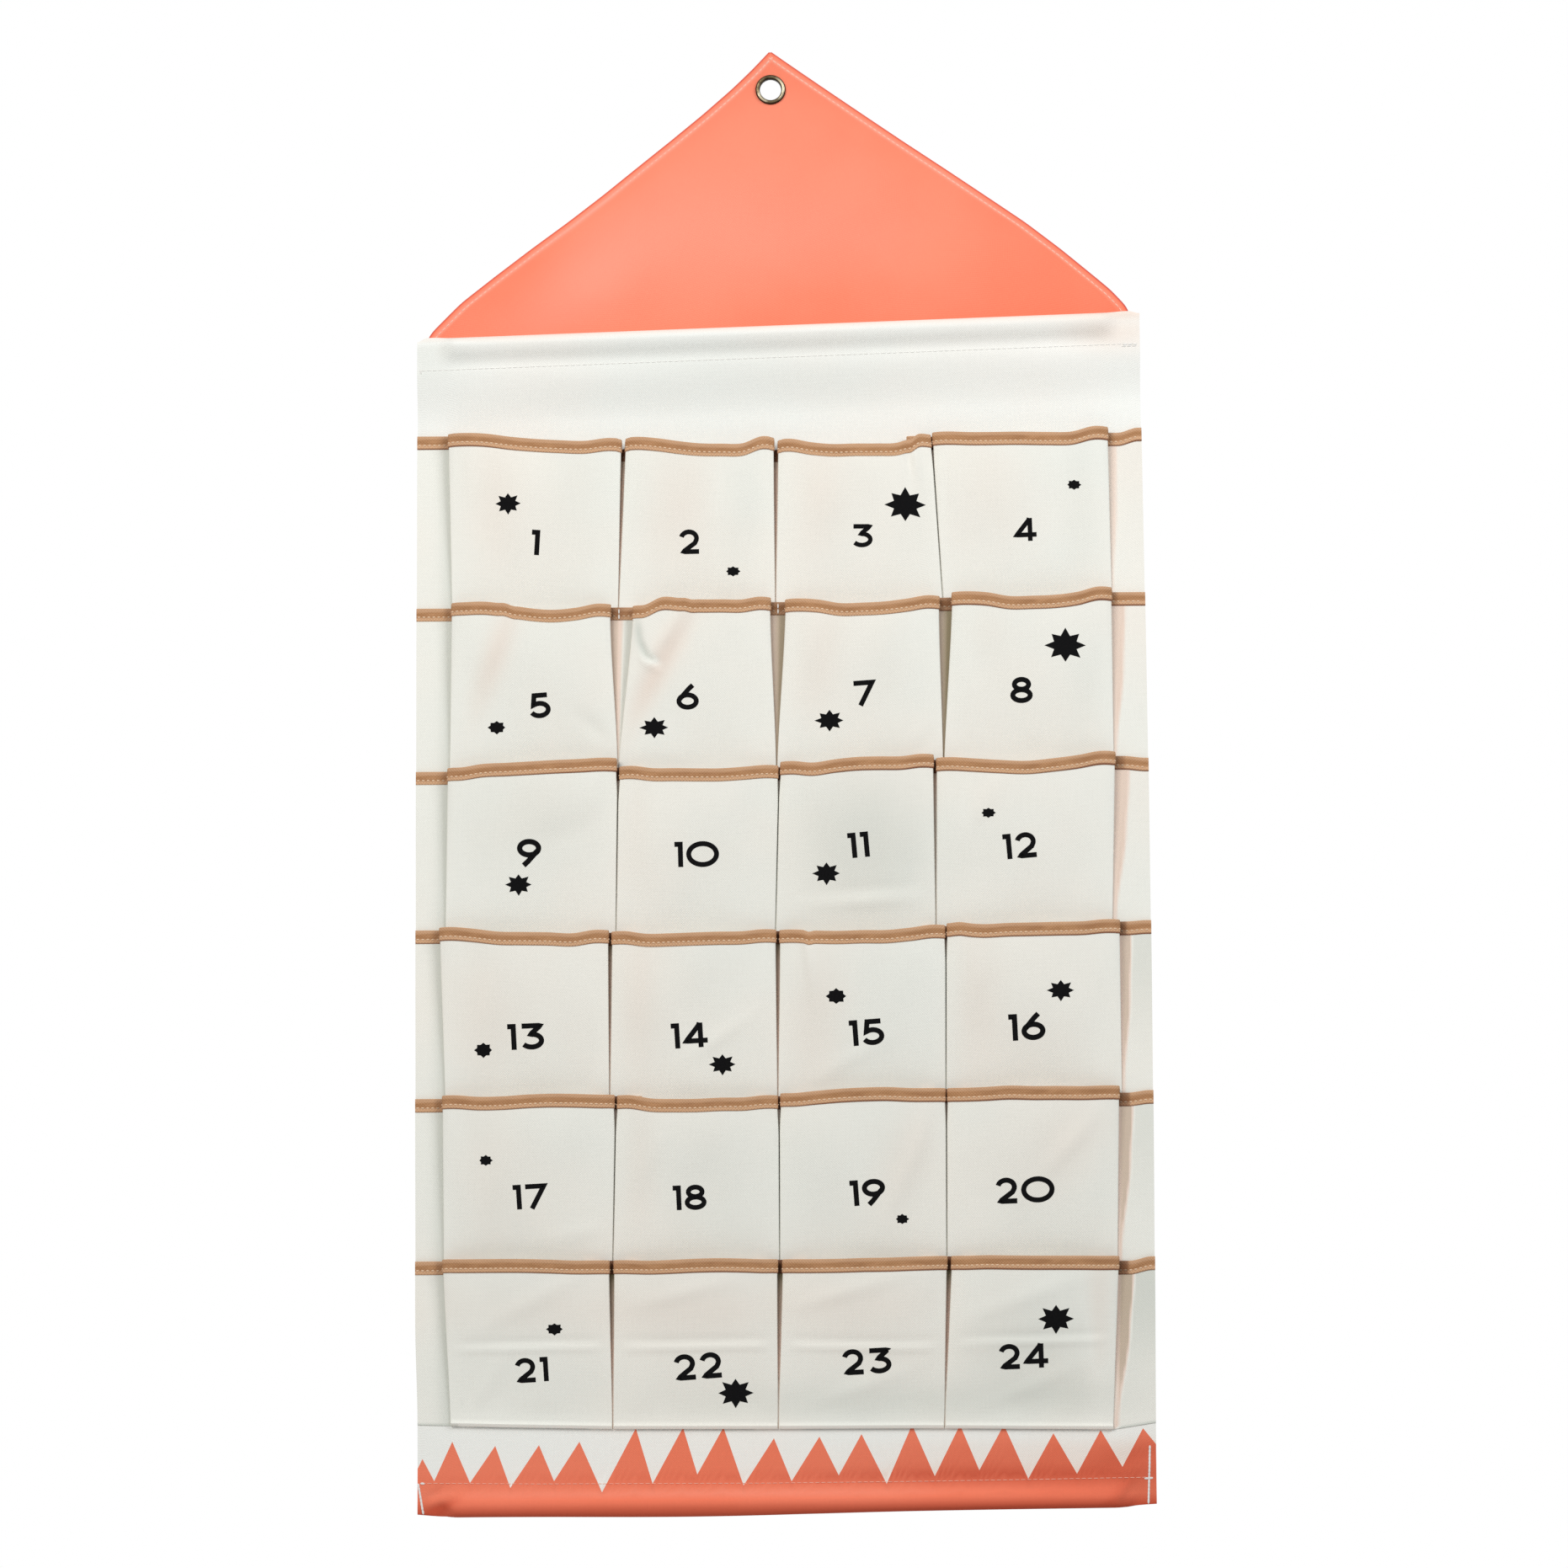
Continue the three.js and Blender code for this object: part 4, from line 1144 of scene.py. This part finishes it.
# %% Mark the cloth
MARKS = {
    # row: (x, z, half length, half width, slant in degrees, height), all in mm
    0: [(84.5, -240, 16, 2.2, -84, -1.2), (90, -238, 15, 2.6, -80, 1.5), (-190, -262, 30, 6, 86, 0.5),
        (110, -262, 26, 6, 84, 0.6)],
    1: [(-84, -345, 8, 1.9, -83, -1.7), (-81, -355.5, 5.5, 1.9, -64, -1.5), (-75.8, -361.8, 5.5, 1.9, -34, -1.4),
        (-87.2, -348, 8, 1.8, -83, 0.8), (-84, -358.5, 5.5, 1.8, -64, 0.9), (-77.4, -365.2, 6, 1.7, -34, 1.1),
        (-68, -349, 16, 3.6, 62, 1.4), (-88, -376, 24, 4, 62, 0.9), (-58, -352, 30, 4, 62, -0.8),
        (-176, -356, 26, 6, 66, 0.9), (-188, -372, 30, 6, 70, -0.5), (22, -356, 30, 5, 78, 0.7),
        (100, -412, 16, 6, 35, -0.7), (-112, -404, 16, 5, -40, -0.7)],
    2: [(56, -513, 30, 4.5, 3, 0.8), (56, -505, 30, 4.0, 3, -0.4), (-130, -470, 24, 9, 20, -0.6),
        (130, -452, 20, 6, 60, 0.6)],
    3: [(20, -545, 24, 3, -84, 1.2), (-178, -570, 30, 7, 86, 0.6), (121, -572, 34, 6, 86, 0.6),
        (-35, -596, 22, 5, 34, 0.7), (-80, -570, 30, 6, 84, 0.5), (45, -610, 26, 5, 30, 0.5)],
    4: [(-176, -690, 30, 8, 74, 0.6), (-78, -670, 26, 7, 60, 0.5), (80, -676, 34, 6, 66, 0.8),
        (178, -664, 28, 6, 48, 0.8), (-120, -715, 24, 5, 10, 0.4)],
    5: [(x, z + up, long, wide, slant, height)
        for x, z, long, slant in ((-150, -785, 60, 1), (-50, -785, 55, 1), (52, -786, 55, -1), (158, -783, 60, 1))
        for up, wide, height in ((0, 1.8, 0.8), (4.5, 2.4, -0.5))] + [
        (40, -752, 34, 5, 16, 0.8), (-60, -752, 30, 5, 14, 0.7), (150, -756, 36, 6, 20, 0.7),
        (150, -812, 34, 5, 24, 0.6), (50, -810, 34, 5, 20, 0.6), (-150, -756, 40, 6, 28, 0.7),
        (-180, -810, 24, 5, 60, 0.6)],
}


def mark(row, x, z):
    """How far the cloth stands forward at a place, for its marks and waves."""
    rise = 0.9 * noise.noise(Vector((x / 42, row * 3.7, z / 55)))
    rise += 0.45 * noise.noise(Vector((x / 17, row * 5.1, z / 40)))
    return rise + sum(patch(x, z, spot) for spot in MARKS[row])


LEVELS = np.concatenate([np.linspace(0, 0.08, 6), np.linspace(0.08, 0.9, 42)[1:], np.linspace(0.9, 1, 12)[1:]])


def row_grid(row, levels):
    grid = []
    for v in levels:
        x, depth, mouth, pocket, share = fold_strip(row, v).T
        z = mouth * (1 - v) + foot_height(row, x) * v
        for k in np.flatnonzero(pocket >= 0):
            hold = ease(0, 0.13, min(share[k], 1 - share[k])) * (1 - ease(0.82, 0.97, v)) * ease(-0.1, 0.1, v)
            depth[k] += mark(row, x[k], z[k]) * hold
        if row == 5:  # the last row's foot is turned under, and shows as a thicker edge
            above_foot = z[pocket >= 0] - foot_height(row, x[pocket >= 0])
            depth[pocket >= 0] += 1.1 * np.exp(-(((above_foot - 1.6) / 1.2) ** 2))
        grid.append(np.stack([x, depth, z], axis=1))
    return bowed(np.array(grid).transpose(1, 0, 2))


# %% [markdown]
# The rows' tints paint light and shade into the white cotton. The left half of each pocket is a
# little pink and some right halves a little cool, a painted warm and cool light; the recesses of the pleats get
# painted shade in tan and olive brown; painted shadows lie beside the outer pockets; and two pockets
# are bluish. These tints are light on the fronts, and strongest in the folds, where the cloth sees mostly other
# cloth.

# %% Tint the rows
TINTS = {
    # row: patches as above. Heights above 0 are warm, below 0 cool: painted warm light on the pockets' left halves,
    # painted cool light on some right halves, a painted shadow in the dent of pocket 6, painted shade low in the last
    # row, and pockets 9 and 11 bluish.
    0: [(-173, -262, 46, 16, 88, 0.3), (-60, -262, 46, 22, 86, 0.42), (30, -258, 46, 16, 88, 0.38),
        (130, -262, 51, 30, 88, 0.22), (-120, -262, 46, 19, 88, -0.22), (-20, -258, 46, 16, 88, -0.25),
        (94, -262, 46, 14, 88, -0.25), (192, -262, 46, 11, 88, -0.29)],
    1: [(-172, -358, 36, 8, 70, 0.8), (-70, -365, 44, 8, 62, 1.1), (28, -362, 39, 12, 80, 0.36),
        (134, -345, 23, 16, 80, 0.22), (-110, -406, 21, 14, 0, -0.22), (-84, -345, 8, 2.4, -83, -1.6),
        (-81, -355.5, 6, 2.4, -64, -1.6), (-75.8, -361.8, 6, 2.2, -34, -1.4), (192, -380, 41, 12, 88, -0.25),
        (70, -380, 41, 16, 88, -0.11)],
    2: [(-150, -460, 48, 27, 0, -0.4), (56, -480, 46, 44, 0, -0.95), (-88, -460, 34, 11, 84, 0.25),
        (128, -452, 25, 14, 60, 0.2), (-60, -500, 46, 24, 0, 0.09)],
    3: [(-180, -576, 46, 19, 88, 0.32), (-84, -570, 46, 12, 88, 0.43), (24, -582, 48, 18, 88, 0.36),
        (122, -575, 46, 15, 88, 0.43), (150, -606, 34, 22, 0, 0.18), (70, -560, 28, 27, 0, -0.11)],
    4: [(-178, -680, 46, 19, 88, 0.29), (-84, -672, 41, 11, 88, 0.32), (80, -668, 39, 15, 70, 0.36),
        (176, -664, 34, 19, 50, 0.32), (-45, -690, 34, 22, 88, -0.14), (22, -670, 34, 19, 88, -0.14)],
    5: [(-140, -762, 69, 16, 0, 0.29), (-50, -762, 57, 16, 0, 0.32), (52, -758, 57, 19, 0, 0.29),
        (152, -760, 57, 19, 0, 0.22), (-100, -806, 103, 14, 0, -0.14), (120, -800, 69, 16, 0, -0.07),
        (150, -775, 48, 30, 0, -0.6), (170, -812, 40, 14, 0, -0.6), (70, -819, 135, 12, 0, -0.9),
        (196, -770, 8, 60, 0, 0.5)],
}
# Of each row's three pleats, the strength of the painted shade in those that gape little. The wide ones of row 2 get
# painted shade across them.
PLEAT_SHADE = [[1.1, 1.0, 0.0], [0, 0, 0], [0.1, 0.0, 0.6], [1.1, 1.1, 0.0], [0.1, 0.0, 0.0], [1.05, 1.05, 1.0]]
# At the right strip: tint and width in mm of the painted shadow beside the pocket, and the tint of painted shade on
# the rest of the strip.
STRIP_SHADE = [(0.9, 6.2, 0.2), (1.06, 9.4, 0.1), (1.08, 10.4, 0.1), (1.26, 8.8, -0.5), (1.3, 10.1, -0.4),
               (1.42, 10.8, -0.75)]


def pleat_tint(row, k, x, v, half):
    """Painted shade on the cloth behind the fold at pleat k, x mm to the right of it: painted shadows beside the
    outer pockets, and painted shade in the pleats.
    """
    if k == 0:
        return -0.8 * np.exp(-((x / 6) ** 2))
    if k == 4:
        height, width, rest = STRIP_SHADE[row]
        width = width * (1 - 0.14 * ease(0.1, 0.4, v) - 0.55 * ease(0.38, 0.9, v))
        shaded = 1 - ease(width - 1.2, width + 1.0, np.abs(x))
        beside = (1 - shaded) * (x > 0) * rest * (1 - ease(0.15, 0.8, v))
        return shaded * height * (0.5 + 0.5 * ease(0, 3.5, x)) + beside
    near = 1 - ease(half + 3, half + 9, np.abs(x))
    if GAPS[row][k - 1] < 6:
        return near * (PLEAT_SHADE[row][k - 1] * (1 - 0.4 * ease(0.45, 0.85, v)) + np.exp(-((v / 0.13) ** 2)))
    across = np.clip(x / half, -1, 1)
    if k == 1:
        return near * (1.2 - 1.8 * ease(-0.2, 0.5, across))
    return near * ((1.19, 1.31)[k - 2] + 0.38 * ease(-0.6, 0.5, across))


def row_tint(row):
    def amount(x, depth, z):
        v = np.clip((row_top(row) - z) / (ROW_PITCH + 10), 0, 1)
        pressed = pressing(v)
        _, back, front = layer_depths(pressed)
        total = 0.55 * sum(patch(x, z, spot) for spot in TINTS[row])
        # Painted shade goes only on the cloth that lies back, in the pleats and at the sides.
        recess = depth < (back + front) / 2
        for k in range(5):
            half = (GAPS[row][k - 1] * (1 - pressed) + 1.2 * pressed) / 2 if 0 < k < 4 else 0
            total = np.where(recess, total + pleat_tint(row, k, x - fold_place(row, k, v), v, half), total)
        if row == 5:  # the strips' lower edges throw a thin shadow
            total -= 1.2 * np.exp(-(((z - foot_height(row, x) - 0.2) / 0.8) ** 2)) * (np.abs(x - 5) > 201)
        return np.where(recess, total, np.clip(total, -1, 1))

    return amount


# %% Make the six rows
row_cloths, row_trees = [], []
for row in range(6):
    cloth = sheet_from(f"row_{row + 1}_cloth", row_grid(row, LEVELS) * [1, -1, 1])
    thicken(cloth, CLOTH)
    smooth(cloth)
    tint(cloth, row_tint(row))
    finish_piece(cloth, "hanging", "white_canvas", white_canvas)
    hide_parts(f"pocket_row_{row + 1}")
    row_cloths.append(cloth)
    row_trees.append(ray_tree(cloth))

# %% [markdown]
# ## The tape
# The upper edge of each strip is bound with a woven tape, folded over it and stitched through.
# The tape is drawn as a narrow U in section, with a soft round top, and carried along the
# strip's own path, so it goes round every pleat with the cloth.

# %% Bind the rows
TAPE_OFF = 0.46  # middle of the tape from the middle of the cloth
TAPE = 0.32  # thickness


def level_frames(row, falls):
    """For each fall below the mouth, the strip's points and the directions square to it."""
    height = row_top(row) - foot_height(row, PANEL_MIDDLE)
    frames = []
    for fall in falls:
        grid = row_grid(row, [1.055 * max(fall, 0) / height])[:, 0]
        along = np.gradient(grid[:, :2], axis=0)
        along /= np.linalg.norm(along, axis=1)[:, None]
        frames.append((grid, np.stack([-along[:, 1], along[:, 0]], axis=1)))
    return frames


def moved_off(grid, square, off, rise):
    """The strip's points moved square to it by off, and up by rise."""
    return grid + np.column_stack([square * off, np.full(len(grid), rise)])


# Painted shade on the tape beside the pocket at the right strip: its tint and its width in mm.
STRIP_TAPE = [(0.25, 3.5), (0.25, 5), (0.42, 7), (0.62, 5.7), (0.62, 7.5), (0.72, 6.7)]


def tape_tint(row):
    """The tape is dark in the pleats and beside the outer pockets, where little light comes."""
    def amount(x, depth, z):
        total = 0.0 * x
        for k in range(5):
            away = x - fold_place(row, k, 0)
            if k in (0, 4):
                dark, reach = STRIP_TAPE[row] if k == 4 else (0.25, 5)
                shade = dark * (1 - ease(reach - 1.4, reach + 1.4, np.abs(away)))
            else:
                wide = GAPS[row][k - 1]
                shade = (0.45 if wide > 6 else 0.85) * (1 - ease(wide / 2 + 3, wide / 2 + 8, np.abs(away)))
                if wide > 12:  # the widest pleat catches the light in its right half
                    shade = shade * (1 - 0.7 * ease(-2, 3, away))
            total = np.maximum(total, shade)
        return np.where(depth < (MOUTH_LAYERS[1] + MOUTH_LAYERS[2]) / 2, total, 0)

    return amount


TAPE_FALLS = [7.2, 6.9, 5.8, 4.4, 3.0, 1.6, 0.6]
TAPE_PUFFS = [-0.1, 0.06, 0.12, 0.02, 0.1, 0.14, 0.06]  # how far the front bulges at each fall
for row in range(6):
    frames = level_frames(row, TAPE_FALLS)
    top = level_frames(row, [0])[0]
    section = [(*frame, TAPE_OFF + puff, 0.0) for frame, puff in zip(frames, TAPE_PUFFS)]
    section += [(*top, across, 0.15 + up) for across, up in arc(0, 0, TAPE_OFF, TAPE_OFF, 0, 180, 8)]
    section += [(*frame, -TAPE_OFF, 0.0) for frame in frames[:0:-2]]
    points = np.array([moved_off(*line) for line in section[::-1]]).transpose(1, 0, 2)
    tape = sheet_from(f"row_{row + 1}_tape", points * [1, -1, 1])
    thicken(tape, TAPE)
    smooth(tape)
    tint(tape, tape_tint(row))
    finish_piece(tape, "hanging", "brown_tape", brown_tape)
    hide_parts(f"binding_{row + 1}")

# %% Stitch the tapes
for row in range(6):
    grid, square = level_frames(row, [4.7])[0]
    line = moved_off(grid, square, TAPE_OFF + TAPE / 2 + 0.12, 0) * [1, -1, 1]
    outs = np.column_stack([square * [1, -1], np.zeros(len(square))])
    stitches = seam(f"row_{row + 1}_stitches", [(line, outs)], "hanging", "brown_tape", tape_thread,
                    length=2.0, gap=1.1, width=0.9, height=0.5)
    # the stitches get the tape's painted shade
    tint(stitches, tape_tint(row))

# %% [markdown]
# ## The printed numbers
# The numbers are printed in black in a plain round sans. Each figure is a few strokes, drawn
# in a box one unit high as straight runs and arcs. A stroke becomes a ribbon of small
# faces, which is laid on the cloth by casting a ray at it from the front, because print
# follows every fold of what it is on.

# %% Draw the figures
STROKE = 0.2  # width, in heights of the figure


def ring(cx, cy, rx, ry, steps):
    return arc(cx, cy, rx, ry, 90, 450, steps)


FIGURES = {
    # figure: (width, strokes)
    "0": (1.29, [ring(0.645, 0.5, 0.565, 0.42, 49)]),
    "1": (0.34, [[(0.02, 0.915), (0.255, 0.915), (0.255, 0.0)]]),
    "2": (0.86, [arc(0.42, 0.645, 0.325, 0.272, 166, -22, 20) + [(0.665, 0.44), (0.16, 0.083), (0.84, 0.083)]]),
    "3": (0.96, [[(0.08, 0.915), (0.82, 0.915), (0.4, 0.575)] + arc(0.455, 0.333, 0.385, 0.25, 78, -147, 22)]),
    "4": (0.98, [[(0.665, 0.995), (0.64, 0.9), (0.1, 0.27), (0.97, 0.27)], [(0.69, 0.99), (0.69, 0.0)]]),
    "5": (0.88, [[(0.77, 0.915), (0.235, 0.915), (0.18, 0.53)] + arc(0.42, 0.335, 0.36, 0.252, 118, -155, 26)]),
    "6": (0.9, [ring(0.45, 0.335, 0.36, 0.252, 33), [(0.665, 0.985), (0.5, 0.835), (0.2, 0.5), (0.12, 0.42)]]),
    "7": (0.88, [[(0.03, 0.915), (0.8, 0.915), (0.26, 0.0)]]),
    "8": (0.87, [ring(0.435, 0.725, 0.285, 0.195, 31), ring(0.435, 0.295, 0.35, 0.215, 33)]),
    "9": (0.9, [ring(0.45, 0.665, 0.36, 0.252, 33), [(0.235, 0.015), (0.4, 0.165), (0.7, 0.5), (0.78, 0.58)]]),
}
NUMBERS = [
    # middle x, middle z, height and tilt to the left in degrees, of 1 to 24
    (-148.3, -288.2, 15.2, -4), (-52.4, -288.3, 14.6, 1), (55.4, -285.3, 13.8, 0), (156.9, -282.1, 14.2, 2),
    (-145.5, -390.2, 15.0, 4), (-53.8, -385.6, 15.0, 0), (55.6, -383.8, 15.0, 4), (153.2, -382.6, 15.4, 0),
    (-152.0, -481.6, 16.2, 0), (-48.8, -483.3, 15.2, 1), (51.1, -478.3, 15.2, 5), (150.7, -479.4, 15.2, 5),
    (-154.2, -594.9, 15.6, 2), (-53.7, -594.8, 15.2, 3), (55.3, -593.7, 15.5, 4), (153.8, -591.0, 16.0, 3),
    (-151.9, -692.7, 14.8, 3), (-54.1, -693.9, 14.8, 2), (55.0, -691.5, 15.4, 4), (151.5, -690.6, 15.4, 2),
    (-150.9, -797.9, 14.6, 3), (-49.4, -796.3, 15.4, 4), (53.9, -793.9, 15.2, 3), (149.5, -791.4, 15.0, 2),
]
FIGURE_GAP = 0.17  # between two figures, in heights
STEP = 1.1  # longest side of an ink face, mm


def ribbon(stroke, width, scale):
    """Ribbon of faces along a stroke, mitred at its corners, as points and faces."""
    stroke = np.array(stroke, float) * scale
    fine = [stroke[0]]
    for a, b in zip(stroke, stroke[1:]):
        count = max(1, math.ceil(np.linalg.norm(b - a) / STEP))
        fine += [a + (b - a) * k / count for k in range(1, count + 1)]
    fine = np.array(fine)
    legs = np.diff(fine, axis=0)
    legs /= np.linalg.norm(legs, axis=1)[:, None]
    closed = np.allclose(fine[0], fine[-1])
    points, faces = [], []
    for k, p in enumerate(fine):
        before, after = legs[max(k - 1, 0)], legs[min(k, len(legs) - 1)]
        if closed and k in (0, len(fine) - 1):
            before, after = legs[-1], legs[0]
        total = before + after
        square = np.array([-total[1], total[0]]) / max(1 + before.dot(after), 0.45)
        points += [p + square * width * scale * side / 2 for side in (-1, 0, 1)]
    for k in range(len(fine) - 1):
        for c in (0, 1):
            a = 3 * k + c
            faces.append((a, a + 3, a + 4, a + 1))
    return points, faces


print("figures:", "".join(FIGURES))

# %% [markdown]
# The small ornaments are plain eight-pointed stars, a little wider than they are high. One is a
# ring of sixteen points, tips and notches in turn, joined to the middle by rings of faces.

# %% Draw the stars
STARS = {
    # pocket: (x, z, width, height) in mm
    1: (-164.9, -264.1, 13.2, 10.8), 2: (-25.2, -306.7, 6.9, 4.8), 3: (82.2, -266.3, 22.1, 18.1),
    4: (187.4, -254.5, 6.8, 4.8), 5: (-172.3, -403.5, 8.4, 6.2), 6: (-74.6, -404.2, 14.7, 10.5),
    7: (34.1, -400.5, 14.7, 10.8), 8: (180.5, -355.3, 22.0, 18.0), 9: (-158.7, -501.2, 13.6, 10.8),
    11: (31.5, -495.5, 14.1, 11.3), 12: (131.6, -459.1, 6.8, 4.8), 13: (-180.4, -603.0, 8.4, 7.0),
    14: (-33.4, -612.7, 13.7, 10.6), 15: (36.8, -571.4, 9.4, 7.2), 16: (174.9, -568.7, 14.0, 10.6),
    17: (-178.5, -670.4, 6.4, 5.1), 19: (76.3, -707.9, 6.2, 4.8), 21: (-136.6, -773.1, 7.8, 5.6),
    22: (-26.4, -812.8, 19.1, 15.8), 24: (169.3, -768.8, 19.4, 15.6),
}
RIM = 32  # points round a star: 16 tips and notches, and one between each two


def star(width, height, notch):
    """Points and faces of a star round (0, 0). Its notches lie at a share notch of its tips' radius."""
    corners = []
    for c in range(17):
        radius = notch if c % 2 else 1 + 0.05 * math.sin(5 * (c % 16) + width)
        corners.append(np.array([math.cos(math.pi * c / 8), math.sin(math.pi * c / 8)]) * radius)
    rim = []
    for here, there in zip(corners, corners[1:]):
        rim += [here, (here + there) / 2]
    rings = max(2, math.ceil(width / 2 / STEP))
    points = [np.zeros(2)] + [p * [width / 2, height / 2] * ring / rings for ring in range(1, rings + 1) for p in rim]
    faces = [(0, 1 + k, 1 + (k + 1) % RIM) for k in range(RIM)]
    for ring in range(rings - 1):
        for k in range(RIM):
            a, b = 1 + ring * RIM + k, 1 + ring * RIM + (k + 1) % RIM
            faces.append((a, a + RIM, b + RIM, b))
    return points, faces


# %% Print the rows
INK_RISE, INK = 0.1, 0.08  # how far the print lies over the cloth, and its thickness


def print_on_cloth(name, shapes, row):
    """Lays flat shapes, as (points in x and z, faces), on a row's front."""
    verts, faces = [], []
    for points, shape_faces in shapes:
        base = len(verts)
        for x, z in points:
            hit, _ = touch(row_trees[row], x, z)
            verts.append((hit.x, hit.y - INK_RISE * MM, hit.z))
        faces += [[base + i for i in face] for face in shape_faces]
    obj = piece_from(name, verts, faces)
    apply_modifier(obj, "SOLIDIFY", thickness=INK * MM, offset=-1)
    smooth(obj)
    finish_piece(obj, "hanging", "white_canvas", ink)


def number_shapes(number):
    x, z, height, tilt = NUMBERS[number - 1]
    word = str(number)
    total = sum(FIGURES[f][0] for f in word) + FIGURE_GAP * (len(word) - 1)
    c, s = math.cos(math.radians(tilt)), math.sin(math.radians(tilt))
    pen = -total / 2
    for figure in word:
        width, strokes = FIGURES[figure]
        for stroke in strokes:
            points, faces = ribbon([(px + pen, py - 0.5) for px, py in stroke], STROKE, height)
            yield [(x + px * c - py * s, z + px * s + py * c) for px, py in points], faces
        pen += width + FIGURE_GAP


for row in range(6):
    shapes = []
    for number in range(4 * row + 1, 4 * row + 5):
        shapes += list(number_shapes(number))
        if number in STARS:
            x, z, width, height = STARS[number]
            # a star's thin tips reach a little past the measured size
            grow, notch = (1.15, 0.6) if width > 16 else (1.22, 0.62) if width > 10 else (1.32, 0.76)
            points, faces = star(width * grow, height * grow, notch)
            shapes.append(([(x + px, z + pz) for px, pz in points], faces))
    print_on_cloth(f"row_{row + 1}_print", shapes, row)

# %% [markdown]
# ## Seams and hems of the panel
# The sleeves are closed by a line of stitching each, white at the header and pale pink across
# the printed foot. The panel's side edges are turned to the back in a narrow hem. Its stitches
# come through to the front, and show where no row covers them. The pleats are sewn to the
# panel down their middle, and in the two widest that seam comes up over the tape.

# %% Sew the sleeves
panel_tree = ray_tree(panel)


def on_panel(places):
    """Points just over the panel's front at places (x, z), in mm, and the directions out of it."""
    points, outs = [], []
    for x, z in places:
        hit, normal = touch(panel_tree, x, z)
        if hit:
            points.append((hit.x / MM, hit.y / MM - 0.08, hit.z / MM))
            outs.append(tuple(normal))
    return points, outs


def sew_panel(name, lines, thread, **stitch):
    """Sews along lines of places on the panel."""
    seam(name, [on_panel(line) for line in lines], "hanging", "white_canvas", thread, **stitch)


def between(start, end, step=2.0):
    count = max(2, math.ceil(math.dist(start, end) / step))
    (x, z), (to_x, to_z) = start, end
    return [(x + (to_x - x) * t, z + (to_z - z) * t) for t in np.linspace(0, 1, count)]


header_line = [(x, roof_line(x) - SLEEVE - 0.4) for x in np.arange(-220, 229, 2.0)]
tacks = [between((-220.0, -178.5), (-218.8, -184.5)), between((219, -165.6), (228.9, -165.2)),
         between((218.5, -166.6), (228.9, -166.2))]
foot_x = np.arange(-221, 229.5, 2.0)
foot_line = [(x, z + 0.3) for x, z in zip(foot_x, np.interp(foot_x, *np.array(FOOT_SEAM).T))]
hems = [between((226.3, -846.5), (224.9, -881.6), 1.0), between((-220.4, -866.6), (-217.2, -884.8), 1.0),
        between((222.8, -866.2), (228.9, -865.8)), between((-221.0, -866.2), (-214.5, -866.6))]
sew_panel("header_seam", [header_line], white_thread, length=3.2, gap=0.4, width=0.45, height=0.2)
sew_panel("header_tacks", tacks, white_thread, length=2.8, gap=0.4, width=0.8, height=0.4)
sew_panel("foot_seam", [foot_line], coral_thread, length=3.2, gap=0.5, width=0.42)
sew_panel("hem_stitches", hems, white_thread, length=3.6, gap=-1.3, width=1.35, height=0.5)

pleat_lines = []
for k, aside in ((1, -2.0), (2, 0.0)):
    x, depth, top = fold_place(1, k, 0) + aside, MOUTH_LAYERS[0] + 0.85, pleat_height(1, k)
    pleat_lines.append(([(x, -depth, top - fall) for fall in (0.2, 3.7, 7.2)], [OUTWARD] * 3))
seam("pleat_stitches", pleat_lines, "hanging", "white_canvas", white_thread, length=3.0, gap=0.3, width=0.8)

# %% Hem the panel's sides
for name, edge, way in (("left_hem", PANEL_LEFT, 1), ("right_hem", PANEL_RIGHT, -1)):
    heights = np.linspace(roof_line(edge) - SLEEVE - 40, -862, 60)
    section = [(edge + way * 0.25, 0.47)]
    section += [(edge + way * (0.25 + 6.2 * t), 0.24 - 0.02 * math.sin(9 * t)) for t in np.linspace(0.03, 1, 9)]
    grid = np.array([[(x, depth, z) for z in heights] for x, depth in section])
    hem = sheet_from(name, bowed(grid) * [1, -1, 1])
    thicken(hem, 0.3)
    smooth(hem)
    finish_piece(hem, "hanging", "white_canvas", white_canvas)

# %% [markdown]
# ## What was cut
# Each sheet's size on the cutting table is printed. The sizes are measured
# along the cloth itself, over its folds. The gable is cut as a triangle with a little more at
# its base.

for name, measured in flat_sizes.items():
    print(name, "cut", [round(1000 * side) for side in measured[:2]], "mm, area", round(measured[2], 4), "m2")
